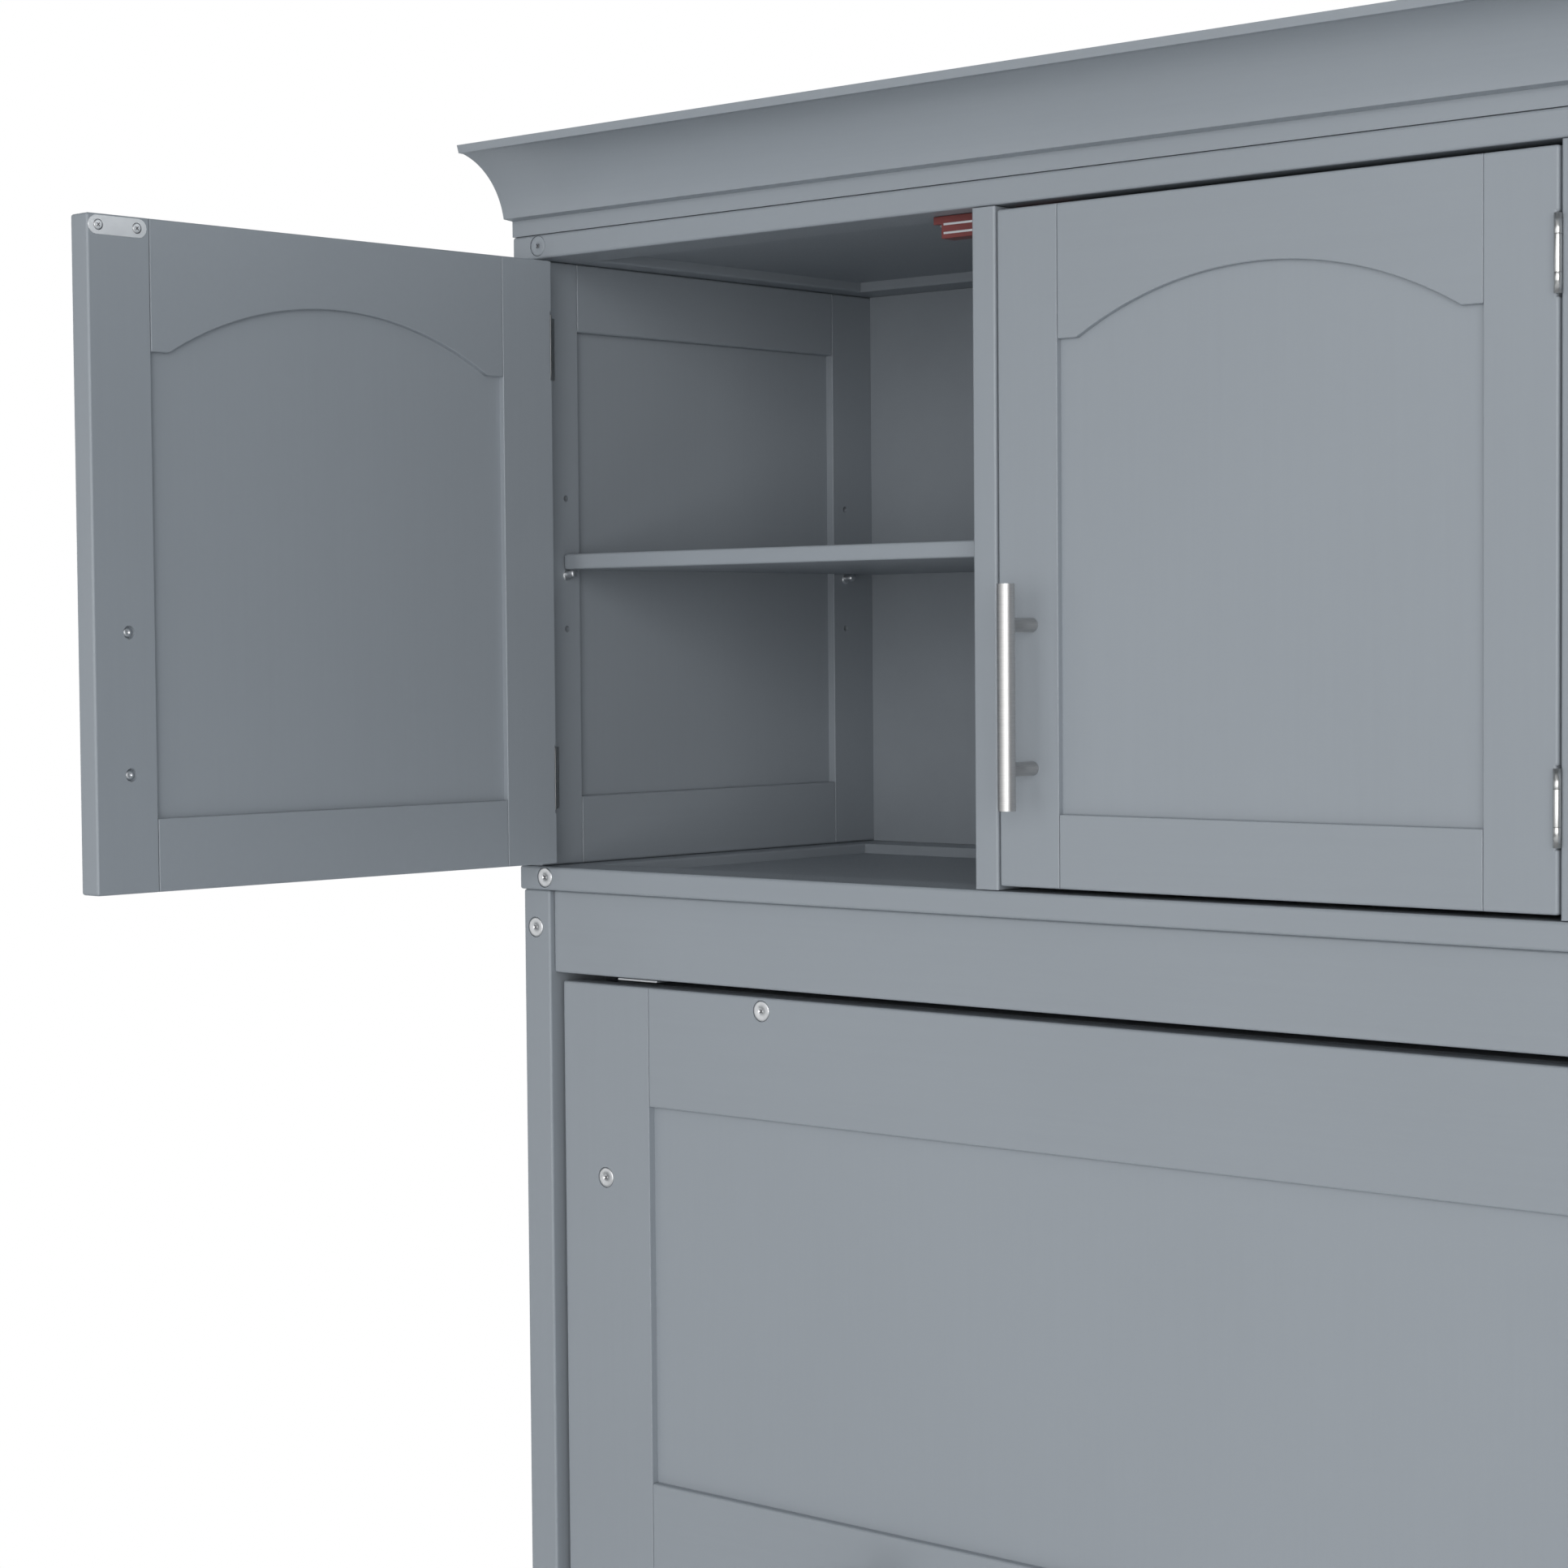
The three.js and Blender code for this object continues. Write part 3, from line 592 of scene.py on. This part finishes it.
def crossed_bars(bm, centre, outward, length, width, low, high):
    """Adds two bars that cross at the centre, from low to high along the outward direction."""
    way = Vector(outward)
    side = way.orthogonal().normalized()
    for arm in (side, way.cross(side)):
        other = way.cross(arm)
        corners = []
        for a in (-1, 1):
            for b in (-1, 1):
                for height in (low, high):
                    offset = arm * a * length / 2 + other * b * width / 2 + way * height
                    corners.append(bm.verts.new(Vector(centre) + offset))
        for loop in BOX_FACES:
            bm.faces.new([corners[i] for i in loop])
    bmesh.ops.recalc_face_normals(bm, faces=bm.faces)


def cross_screw(bm, centre, outward, radius, height):
    """A pan-head screw with a cross recess."""
    profile = [
        (0, -0.4 * height),
        (radius, -0.4 * height),
        (radius, 0.35 * height),
        (radius * 0.86, 0.8 * height),
        (radius * 0.5, height),
        (radius * 0.42, height),
        (radius * 0.3, 0.35 * height),
        (0, 0.25 * height),
    ]
    turned(bm, profile, centre, outward, 20)
    crossed_bars(bm, centre, outward, 0.72 * radius, 0.11 * radius, 0.2 * height, 0.55 * height)


def painted_shade_cross(bm, centre, outward, length):
    """Painted shade for a cross recess: two thin dark bars, just proud of the head around it, stand in for
    the shade inside the recess.
    """
    crossed_bars(bm, centre, outward, length, 0.2 * length, -0.2 * MM, 0.06 * MM)


def flush_screw(heads, shade_marks, centre):
    """A countersunk screw in a strike plate, facing +Y: a flat head in a dark ring of painted shade, with
    a dark cross of painted shade.
    """
    # A dark disc just proud of the plate, round the head: painted shade for the countersink's gap.
    ring = [(0, -0.3 * MM), (SINK_R, -0.3 * MM), (SINK_R, 0.03 * MM), (0, 0.03 * MM)]
    turned(shade_marks, ring, centre, (0, 1, 0), 24)
    head = [
        (0, -0.2 * MM),
        (HEAD_R, -0.2 * MM),
        (HEAD_R, 0.06 * MM),
        (HEAD_R * 0.8, 0.14 * MM),
        (0, HEAD_PROUD),
    ]
    turned(heads, head, centre, (0, 1, 0), 24)
    painted_shade_cross(shade_marks, Vector(centre) + Vector((0, HEAD_PROUD, 0)), (0, 1, 0), 3.2 * MM)


def door_fittings(door, frame_pieces):
    """Handle screws in their counterbores, the strike plate, and the hinges' moving leaves."""
    name = door.body
    x_handle = door.free_edge - door.reach * HANDLE_INSET
    holes = []
    screws = bmesh.new()
    for end in (-1, 1):
        z = HANDLE_Z + end * HANDLE_SPREAD / 2
        holes.append(((x_handle, door.back, z), (0, -1, 0), SCREW_BORE_R, SCREW_SINK))
        seat = (x_handle, door.back - SCREW_SINK, z)
        cross_screw(screws, seat, (0, 1, 0), 3.6 * MM, 1.9 * MM)
    drill(frame_pieces["stile_free"], holes, door.place)
    piece(name + "_handle_screws", screws, ZINC, name, 0, door.place)
    middle = door.free_edge - door.reach * (STRIKE_FROM_EDGE + STRIKE_L / 2)
    z = door.height - STRIKE_FROM_TOP - STRIKE_H / 2
    strike = bmesh.new()
    outline = [(middle + a, z + b) for a, b in rounded_bar(STRIKE_L, STRIKE_H)]
    prism(strike, outline, "y", door.back - 0.2 * MM, door.back + STRIKE_T)
    piece(name + "_strike", strike, BRIGHT, name, 0.25 * MM, door.place)
    screws = bmesh.new()
    shade_pieces = bmesh.new()
    for end in (-1, 1):
        x = middle + end * (STRIKE_L / 2 - STRIKE_SCREW_INSET)
        flush_screw(screws, shade_pieces, (x, door.back + STRIKE_T, z))
    piece(name + "_strike_screws", screws, BRIGHT, name, 0, door.place)
    # The dark rings and crosses are painted shade for the screws' countersinks and recesses.
    piece(name + "_strike_slots", shade_pieces, PAINTED_SHADE, name, 0, door.place)
    leaves = bmesh.new()
    for low in (HINGE_INSET, door.height - HINGE_INSET - HINGE_H):
        near = door.hinge_edge - door.reach * 0.2 * MM
        deep = door.hinge_edge + door.reach * (MORTISE - 0.05 * MM)
        block(leaves, (near, 0.3 * MM, low), (deep, door.back - MM, low + HINGE_H))
    piece(name + "_hinge_leaves", leaves, NICKEL, name, 0.2 * MM, door.place)


def make_doors():
    for bay in DOOR_BAYS:
        door = Door(bay)
        made = door_frame(door)
        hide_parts(door.body)
        door_fittings(door, made)
        dress(f"handle_{bay}", STAINLESS, 0.6 * MM)
        for level in ("lower", "upper"):
            dress(f"hinge_{bay}_{level}", NICKEL, 0)


# ---- Cupboard row -------------------------------------------------------------------------------

FRAME_W = 45 * MM
SIDE_RAIL = 52 * MM
SIDE_BACK_STILE = 58 * MM
SIDE_SINK = 7 * MM
PIN_HOLE_R = 2.5 * MM
PIN_HOLE_DEPTH = 9 * MM
PIN_SETBACKS = (30.5 * MM, 362 * MM)
PIN_ROWS = (181.5 * MM, 231.5 * MM, 281.5 * MM)
BOLT_R = 7.4 * MM
BOLT_SINK = 1.6 * MM
BOLT_BORE_R = BOLT_R + 0.6 * MM
BOLT_SLOT = 3.6 * MM
END_BOLT_INSET = 27 * MM
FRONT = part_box("hutch_floor_board")[0].y
HUTCH_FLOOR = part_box("hutch_floor_board")[1].z


def bay_walls(bay):
    """The left and right wall planes of a cupboard bay."""
    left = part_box("hutch_side_left")[1].x if bay == 1 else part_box(f"hutch_divider_{bay - 1}")[1].x
    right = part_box("hutch_side_right")[0].x if bay == 5 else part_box(f"hutch_divider_{bay}")[0].x
    return left, right


def pin_holes(x, into):
    """Shelf pin holes in a wall plane, drilled towards into."""
    mouths = [(x, FRONT + y, HUTCH_FLOOR + z) for y in PIN_SETBACKS for z in PIN_ROWS]
    return [(mouth, (into, 0, 0), PIN_HOLE_R, PIN_HOLE_DEPTH) for mouth in mouths]


def counterbore(board, mouths):
    """Sinks a bolt's seat into a board at each mouth, from its -Y face."""
    drill(board, [(mouth, (0, 1, 0), BOLT_BORE_R, BOLT_SINK) for mouth in mouths])


def hutch_side(name, side):
    """A framed end of the cupboard row: two stiles, two rails and a sunk panel."""
    node_name = "hutch_side_" + name
    low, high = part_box(node_name)
    outer, inner = (low.x, high.x) if side < 0 else (high.x, low.x)
    y0, y1 = low.y + FRAME_W, high.y - SIDE_BACK_STILE
    z0, z1 = low.z + SIDE_RAIL, high.z - SIDE_RAIL
    bm = bmesh.new()
    block(bm, (outer, low.y, low.z), (inner, y0, high.z), "+y")
    block(bm, (outer, y1, low.z), (inner, high.y, high.z), "-y")
    stiles = piece(node_name + "_stiles", bm, PAINT_ALONG["z"], "cabinet")
    drill(stiles, pin_holes(inner, side))
    bm = bmesh.new()
    block(bm, (outer, y0, low.z), (inner, y1, z0), "-y+y")
    block(bm, (outer, y0, z1), (inner, y1, high.z), "-y+y")
    piece(node_name + "_rails", bm, PAINT_ALONG["y"], "cabinet")
    bm = bmesh.new()
    near = (outer - side * SIDE_SINK, y0 - TONGUE, z0 - TONGUE)
    far = (inner + side * SIDE_SINK, y1 + TONGUE, z1 + TONGUE)
    block(bm, near, far)
    panel = piece(node_name + "_panel", bm, PAINT_PANEL, "cabinet", PANEL_ARRIS)
    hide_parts(node_name)


def hutch_board(node_name, panel_low, panel_high):
    """A framed board: a rail along each long edge, rails between the bays, and a thin panel in each."""
    low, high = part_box(node_name)
    y0, y1 = low.y + FRAME_W, high.y - FRAME_W
    bm = bmesh.new()
    block(bm, (low.x, low.y, low.z), (high.x, y0, high.z), "+y")
    block(bm, (low.x, y1, low.z), (high.x, high.y, high.z), "-y")
    rails = piece(node_name + "_rails", bm, PAINT_ALONG["x"], "cabinet")
    height = (low.z + high.z) / 2 + 0.7 * MM
    mouths = [(side * (high.x - END_BOLT_INSET), FRONT, height) for side in SIDES.values()]
    counterbore(rails, mouths)
    bm = bmesh.new()
    block(bm, (low.x, y0, low.z), (low.x + FRAME_W, y1, high.z), "-y+y")
    block(bm, (high.x - FRAME_W, y0, low.z), (high.x, y1, high.z), "-y+y")
    for n in DIVIDERS:
        middle = sum(corner.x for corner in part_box(f"hutch_divider_{n}")) / 2
        block(bm, (middle - FRAME_W / 2, y0, low.z), (middle + FRAME_W / 2, y1, high.z), "-y+y")
    piece(node_name + "_cross_rails", bm, PAINT_ALONG["y"], "cabinet")
    bm = bmesh.new()
    margin = FRAME_W - TONGUE
    block(bm, (low.x + margin, y0 - TONGUE, panel_low), (high.x - margin, y1 + TONGUE, panel_high))
    panel = piece(node_name + "_panel", bm, PAINT_PANEL, "cabinet", PANEL_ARRIS)
    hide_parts(node_name)
    return mouths


def bolts_piece(name, mouths, material, body):
    """Flat bolt heads in their counterbores, facing -Y, each with a dark cross of painted shade in its
    recess.
    """
    bm = bmesh.new()
    shade_pieces = bmesh.new()
    for mouth in mouths:
        seat = Vector(mouth) + Vector((0, BOLT_SINK - 0.9 * MM, 0))
        profile = [
            (0, -0.8 * MM),
            (BOLT_R, -0.8 * MM),
            (BOLT_R, 0.35 * MM),
            (BOLT_R - 0.3 * MM, 0.6 * MM),
            (BOLT_R - 0.9 * MM, 0.7 * MM),
            (2.4 * MM, 0.72 * MM),
            (2.1 * MM, 0.5 * MM),
            (1.9 * MM, -0.4 * MM),
            (0, -0.5 * MM),
        ]
        turned(bm, profile, seat, (0, -1, 0), 28)
        painted_shade_cross(shade_pieces, seat + Vector((0, -0.72 * MM, 0)), (0, -1, 0), BOLT_SLOT)
    # The dark crosses are painted shade for the bolts' recesses.
    piece(name + "_slots", shade_pieces, PAINTED_SHADE, body, 0)
    return piece(name, bm, material, body, 0)


def divider(n):
    name = f"hutch_divider_{n}"
    low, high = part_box(name)
    bm = bmesh.new()
    block(bm, low, high, "-z+z")
    board = piece(name + "_board", bm, PAINT_ALONG["z"], "cabinet")
    drill(board, pin_holes(low.x, 1) + pin_holes(high.x, -1))
    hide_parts(name)


PIN_R = 3 * MM
PIN_OUT = 9 * MM
COLLAR_R = PIN_R + 1.1 * MM
COLLAR_DROP = 1.2 * MM


def shelf_pins(bay):
    """Four plated pins with collars under a shelf, one near each corner."""
    pin = [
        (0, -2 * MM),
        (PIN_R, -2 * MM),
        (PIN_R, PIN_OUT - 0.8 * MM),
        (PIN_R - 0.7 * MM, PIN_OUT),
        (0, PIN_OUT),
    ]
    collar = [
        (0, -MM),
        (COLLAR_R, -MM),
        (COLLAR_R, 0.7 * MM),
        (PIN_R, 1.1 * MM),
        (0, 1.1 * MM),
    ]
    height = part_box(f"shelf_{bay}")[0].z - PIN_R - 0.1 * MM
    bm = bmesh.new()
    for wall, out in zip(bay_walls(bay), (1, -1)):
        for setback in PIN_SETBACKS:
            turned(bm, pin, (wall, FRONT + setback, height), (out, 0, 0), 20)
            turned(bm, collar, (wall, FRONT + setback, height - COLLAR_DROP), (out, 0, 0), 20)
    piece(f"shelf_pins_{bay}", bm, ZINC, "cabinet", 0)


POLE_DROPS = (5.7 * MM, 11.7 * MM)
POLE_INSET = 9 * MM
POLE_HALF = 0.8 * MM
POLE_PROUD = 0.2 * MM
CATCH_SCREW_INSET = 3.6 * MM
CATCH_SCREW_DROP = 5.5 * MM


def catch_details(bay):
    """The steel pole strips and the fixing screws of a magnetic catch."""
    name = f"magnetic_catch_{bay}"
    dress(name, RED_BROWN, 0.5 * MM)
    low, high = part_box(name)
    bm = bmesh.new()
    for drop in POLE_DROPS:
        z = high.z - drop
        start = (low.x + POLE_INSET, low.y - POLE_PROUD, z - POLE_HALF)
        block(bm, start, (high.x - POLE_INSET, low.y + 4 * MM, z + POLE_HALF))
    piece(f"catch_poles_{bay}", bm, ZINC, "cabinet", 0.2 * MM)
    bm = bmesh.new()
    for x in (low.x + CATCH_SCREW_INSET, high.x - CATCH_SCREW_INSET):
        seat = (x, (low.y + high.y) / 2, high.z - CATCH_SCREW_DROP)
        cross_screw(bm, seat, (0, 0, -1), 2.7 * MM, 1.3 * MM)
    piece(f"catch_screws_{bay}", bm, ZINC, "cabinet", 0)


def make_hutch():
    floor_low, floor_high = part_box("hutch_floor_board")
    top_low, top_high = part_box("hutch_top_board")
    mouths = hutch_board("hutch_floor_board", floor_low.z, floor_high.z - 8 * MM)
    bolts_piece("floor_board_bolts", mouths, BRIGHT, "cabinet")
    mouths = hutch_board("hutch_top_board", top_low.z + 8 * MM, top_high.z - 5 * MM)
    bolts_piece("top_board_bolts", mouths, PAINT_PANEL, "cabinet")
    for name, side in SIDES.items():
        hutch_side(name, side)
    for n in DIVIDERS:
        divider(n)
    for bay in BAYS:
        dress(f"shelf_{bay}", PAINT_ALONG["x"])
        shelf_pins(bay)
    for bay in DOOR_BAYS:
        catch_details(bay)
    dress("hutch_back_panel", BOARD, 0)
    dress("cornice_moulding", PAINT_ALONG["x"], 1.1 * MM)


# ---- Lower cabinet ------------------------------------------------------------------------------

LOWER_STILE = 60 * MM
LOWER_OPENINGS = ((95 * MM, 830 * MM), (900 * MM, 1635 * MM))
POST_BOLT_INSET = 12.5 * MM
POST_BOLT_DROP = 29 * MM
POST_BOLT_RISE = 30 * MM


def lower_side(name, side):
    """A side of the lower cabinet: framed outside with two sunk panels, flat inside."""
    node_name = "lower_side_" + name
    low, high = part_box(node_name)
    outer, inner = (low.x, high.x) if side < 0 else (high.x, low.x)
    y0, y1 = low.y + LOWER_STILE, high.y - LOWER_STILE
    bm = bmesh.new()
    block(bm, (outer, low.y, low.z), (inner, y0, high.z), "+y")
    block(bm, (outer, y1, low.z), (inner, high.y, high.z), "-y")
    stiles = piece(node_name + "_stiles", bm, PAINT_ALONG["z"], "cabinet")
    x_bolt = outer - side * POST_BOLT_INSET
    mouths = [(x_bolt, low.y, z) for z in (high.z - POST_BOLT_DROP, POST_BOLT_RISE)]
    counterbore(stiles, mouths)
    bolts_piece(node_name + "_bolts", mouths, BRIGHT, "cabinet")
    bm = bmesh.new()
    for z0, z1 in spans(low.z, high.z, LOWER_OPENINGS):
        block(bm, (outer, y0, z0), (inner, y1, z1), "-y+y")
    piece(node_name + "_rails", bm, PAINT_ALONG["y"], "cabinet")
    bm = bmesh.new()
    for z0, z1 in LOWER_OPENINGS:
        near = (outer - side * SIDE_SINK, y0 - TONGUE, z0 - TONGUE)
        block(bm, near, (inner, y1 + TONGUE, z1 + TONGUE))
    panel = piece(node_name + "_panels", bm, PAINT_PANEL, "cabinet", PANEL_ARRIS)
    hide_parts(node_name)


def make_lower_cabinet():
    for name, side in SIDES.items():
        lower_side(name, side)
        dress(f"bed_keeper_{name}", ZINC, 0.3 * MM)
        dress(f"pivot_plate_{name}", ZINC, 0.5 * MM)
    for name in ("plinth_rail", "base_board", "apron_rail"):
        dress(name, PAINT_ALONG["x"])
    dress("wall_rail", BOARD)
    dress("lower_back_panel", BOARD, 0)


# ---- Bed ----------------------------------------------------------------------------------------

BED_RAIL = 90 * MM
BED_OPENING = 285 * MM
BED_RECESS = 6 * MM
BED_ROWS = 4
STILE_BOLT_EDGE = 44 * MM
STILE_BOLT_END = BED_RAIL + 57.5 * MM
RAIL_BOLT_EDGE = 10 * MM
RAIL_BOLT_END = 203.5 * MM


def bed_front():
    """The bed's underside, which is the cabinet's front: full stiles, five rails, eight panels."""
    low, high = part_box("bed_front_panel")
    rows = [low.z + BED_RAIL + row * (BED_RAIL + BED_OPENING) for row in range(BED_ROWS)]
    openings = [(z, z + BED_OPENING) for z in rows]
    inner = high.x - BED_RAIL
    bm = bmesh.new()
    for side in SIDES.values():
        inward = "-x" if side > 0 else "+x"
        block(bm, (side * high.x, low.y, low.z), (side * inner, high.y, high.z), inward)
    stiles = piece("bed_front_stiles", bm, PAINT_ALONG["z"], "bed")
    heights = (high.z - STILE_BOLT_END, low.z + STILE_BOLT_END, (low.z + high.z) / 2)
    x_bolt = high.x - STILE_BOLT_EDGE
    mouths = [(side * x_bolt, low.y, z) for side in SIDES.values() for z in heights]
    counterbore(stiles, mouths)
    bolts_piece("bed_stile_bolts", mouths, BRIGHT, "bed")
    bm = bmesh.new()
    for z0, z1 in spans(low.z, high.z, openings):
        block(bm, (-inner, low.y, z0), (inner, high.y, z1), "-x+x")
    rails = piece("bed_front_rails", bm, PAINT_ALONG["x"], "bed")
    heights = (high.z - RAIL_BOLT_EDGE, low.z + RAIL_BOLT_EDGE)
    x_bolt = high.x - RAIL_BOLT_END
    mouths = [(x, low.y, z) for x in (-x_bolt, 0, x_bolt) for z in heights]
    counterbore(rails, mouths)
    bolts_piece("bed_rail_bolts", mouths, BRIGHT, "bed")
    bm = bmesh.new()
    for z0, z1 in openings:
        block(bm, (-BED_RAIL / 2, low.y, z0), (BED_RAIL / 2, high.y, z1), "-z+z")
    piece("bed_front_mullions", bm, PAINT_ALONG["z"], "bed")
    bm = bmesh.new()
    for z0, z1 in openings:
        near = (-inner - TONGUE, low.y + BED_RECESS, z0 - TONGUE)
        block(bm, near, (inner + TONGUE, high.y - 0.2 * MM, z1 + TONGUE))
    panels = piece("bed_front_panels", bm, PAINT_PANEL, "bed", PANEL_ARRIS)
    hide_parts("bed_front_panel")


CHEEK_T = 2.5 * MM
CHEEK_GAP = 0.6 * MM
CHEEK_HALF = 19 * MM  # from the pin up to a cheek's top
CHEEK_TAIL = 8 * MM  # how much further a cheek runs below the pin
CHEEK_BULGE = 0.55
FOOT_W = 20 * MM
FOOT_T = 2.2 * MM
FOOT_SINK = 0.2 * MM
FOOT_SCREW_HEIGHTS = (-18 * MM, 10 * MM)
PIN_HEAD_R = 7 * MM
PIN_HEAD = [
    (0, -0.2 * MM),
    (PIN_HEAD_R, -0.2 * MM),
    (PIN_HEAD_R, 1.6 * MM),
    (PIN_HEAD_R * 0.7, 2.8 * MM),
    (0, 3.1 * MM),
]


def cheek_outline(seat, pivot):
    """A cheek of the fork: straight against the bed at y = seat, and bulging out round the pin."""
    points = [(seat, pivot.z - CHEEK_HALF - CHEEK_TAIL), (seat, pivot.z + CHEEK_HALF)]
    for step in range(13):
        angle = math.pi * (0.5 - step / 12)
        y = pivot.y - CHEEK_BULGE * CHEEK_HALF * math.cos(angle)
        points.append((y, pivot.z + CHEEK_HALF * math.sin(angle)))
    return points


def leg_bracket(name):
    """The steel fork on the bed that a leg's pin runs through."""
    leg_low, leg_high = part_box("support_leg_" + name)
    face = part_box("bed_front_panel")[0].y
    pivot = Vector(JOINTS[f"leg_{name}_swing"]["pos_m"])
    seat = face + FOOT_SINK
    bm = bmesh.new()
    pins = bmesh.new()
    for edge, out in ((leg_low.x, -1), (leg_high.x, 1)):
        near = edge + out * CHEEK_GAP
        far = near + out * CHEEK_T
        prism(bm, cheek_outline(seat, pivot), "x", min(near, far), max(near, far))
        corner = (far + out * FOOT_W, face - FOOT_T, pivot.z - CHEEK_HALF - CHEEK_TAIL)
        block(bm, (near, seat, pivot.z + CHEEK_HALF), corner)
        turned(pins, PIN_HEAD, (far, pivot.y, pivot.z), (out, 0, 0), 24)
        for height in FOOT_SCREW_HEIGHTS:
            centre = (far + out * 10.5 * MM, face - FOOT_T, pivot.z + height)
            cross_screw(pins, centre, (0, -1, 0), 4 * MM, 1.6 * MM)
    piece(f"leg_bracket_{name}", bm, ZINC, "bed", 0.4 * MM)
    piece(f"leg_pins_{name}", pins, CHROME, "bed", 0)


def make_bed():
    bed_front()
    for name in ("upper_rail", "lower_rail"):
        dress("bed_" + name, PAINT_ALONG["x"])
    for name in SIDES:
        dress(f"bed_end_rail_{name}", PAINT_ALONG["z"])
        dress(f"bed_bracket_{name}", ZINC, 0.4 * MM)
        dress(f"strut_tube_{name}", BLACK, 0)
        dress(f"strut_rod_{name}", CHROME, 0)
        dress(f"support_leg_{name}", PAINT_ALONG["z"])
        leg_bracket(name)
    dress("slat_deck", PINE, 1 * MM)


make_hutch()
make_doors()
make_lower_cabinet()
make_bed()


# ---- Floor, light and world ---------------------------------------------------------------------

FLOOR_R = 4.4
FLOOR_SOLID_R = 2.4  # the floor fades out from here to its rim
FLOOR_TINTS = [(0.3, (0.80, 0.80, 0.80)), (0.7, (0.84, 0.84, 0.84))]


def floor_material():
    """Pale matt floor that fades out towards its rim."""
    material, shader = new_material("pale_floor", Roughness=0.7, Specular_IOR_Level=0.2)
    tree = material.node_tree
    fleck = noise(tree, 40, detail=4)
    tree.links.new(ramp(tree, fleck, FLOOR_TINTS), shader.inputs["Base Color"])
    where = node(tree, "ShaderNodeTexCoord")
    length = node(tree, "ShaderNodeVectorMath", operation="LENGTH")
    tree.links.new(where.outputs["Object"], length.inputs[0])
    fade = spread(tree, length.outputs["Value"], 1.0, 0.0, FLOOR_SOLID_R, FLOOR_R - 0.1)
    tree.links.new(fade, shader.inputs["Alpha"])
    return material


def make_floor():
    bm = bmesh.new()
    bmesh.ops.create_circle(bm, cap_ends=True, segments=96, radius=FLOOR_R)
    mesh = bpy.data.meshes.new("floor")
    bm.to_mesh(mesh)
    bm.free()
    mesh.materials.append(floor_material())
    floor = bpy.data.objects.new("floor", mesh)
    floor.location.z = -0.5 * MM
    bpy.context.scene.collection.objects.link(floor)


def area_light(name, place, target, size, power):
    data = bpy.data.lights.new(name, "AREA")
    data.shape = "RECTANGLE"
    data.size, data.size_y = size
    data.energy = power
    light = bpy.data.objects.new(name, data)
    light.location = place
    light.rotation_euler = (Vector(target) - Vector(place)).to_track_quat("-Z", "Y").to_euler()
    bpy.context.scene.collection.objects.link(light)


def make_world():
    """White to the camera, as a studio cyclorama. On the object, a fill that is brighter behind it."""
    world = bpy.data.worlds.new("studio")
    world.use_nodes = True
    bpy.context.scene.world = world
    tree = world.node_tree
    out = tree.nodes["World Output"]
    fill = tree.nodes["Background"]
    fill.inputs["Color"].default_value = (0.87, 0.94, 1.0, 1)
    where = node(tree, "ShaderNodeTexCoord")
    parts = node(tree, "ShaderNodeSeparateXYZ")
    tree.links.new(where.outputs["Generated"], parts.inputs[0])
    tree.links.new(spread(tree, parts.outputs["Y"], 0.15, 0.50, 0.0, 0.35), fill.inputs["Strength"])
    seen = node(tree, "ShaderNodeBackground", {"Color": (1, 1, 1, 1), "Strength": 1.0})
    path = node(tree, "ShaderNodeLightPath")
    mix = node(tree, "ShaderNodeMixShader")
    tree.links.new(path.outputs["Is Camera Ray"], mix.inputs[0])
    tree.links.new(fill.outputs[0], mix.inputs[1])
    tree.links.new(seen.outputs[0], mix.inputs[2])
    tree.links.new(mix.outputs[0], out.inputs["Surface"])


def make_light():
    area_light("front", (0.5, -5.5, 2.2), (0, 0, 1.6), (6.0, 4.2), 124)
    area_light("front_right", (3.6, -4.6, 2.4), (-0.4, 0, 1.8), (4.4, 3.8), 138)
    area_light("front_left", (-4.6, -4.2, 1.7), (-0.4, 0, 1.8), (3.4, 3.4), 22)
    area_light("back_right", (4.6, 2.4, 2.6), (-0.4, -0.2, 2.0), (2.8, 2.8), 30)
    area_light("top", (0.0, -2.6, 5.0), (0, 0, 1.6), (5.0, 3.0), 15)
    area_light("rear", (0.8, 5.5, 2.6), (0, 0, 1.2), (4.0, 3.0), 110)
    area_light("left", (-5.2, 1.6, 2.6), (0, 0, 1.2), (3.0, 3.0), 60)


make_floor()
make_world()
make_light()
bpy.context.scene.view_settings.view_transform = "Standard"
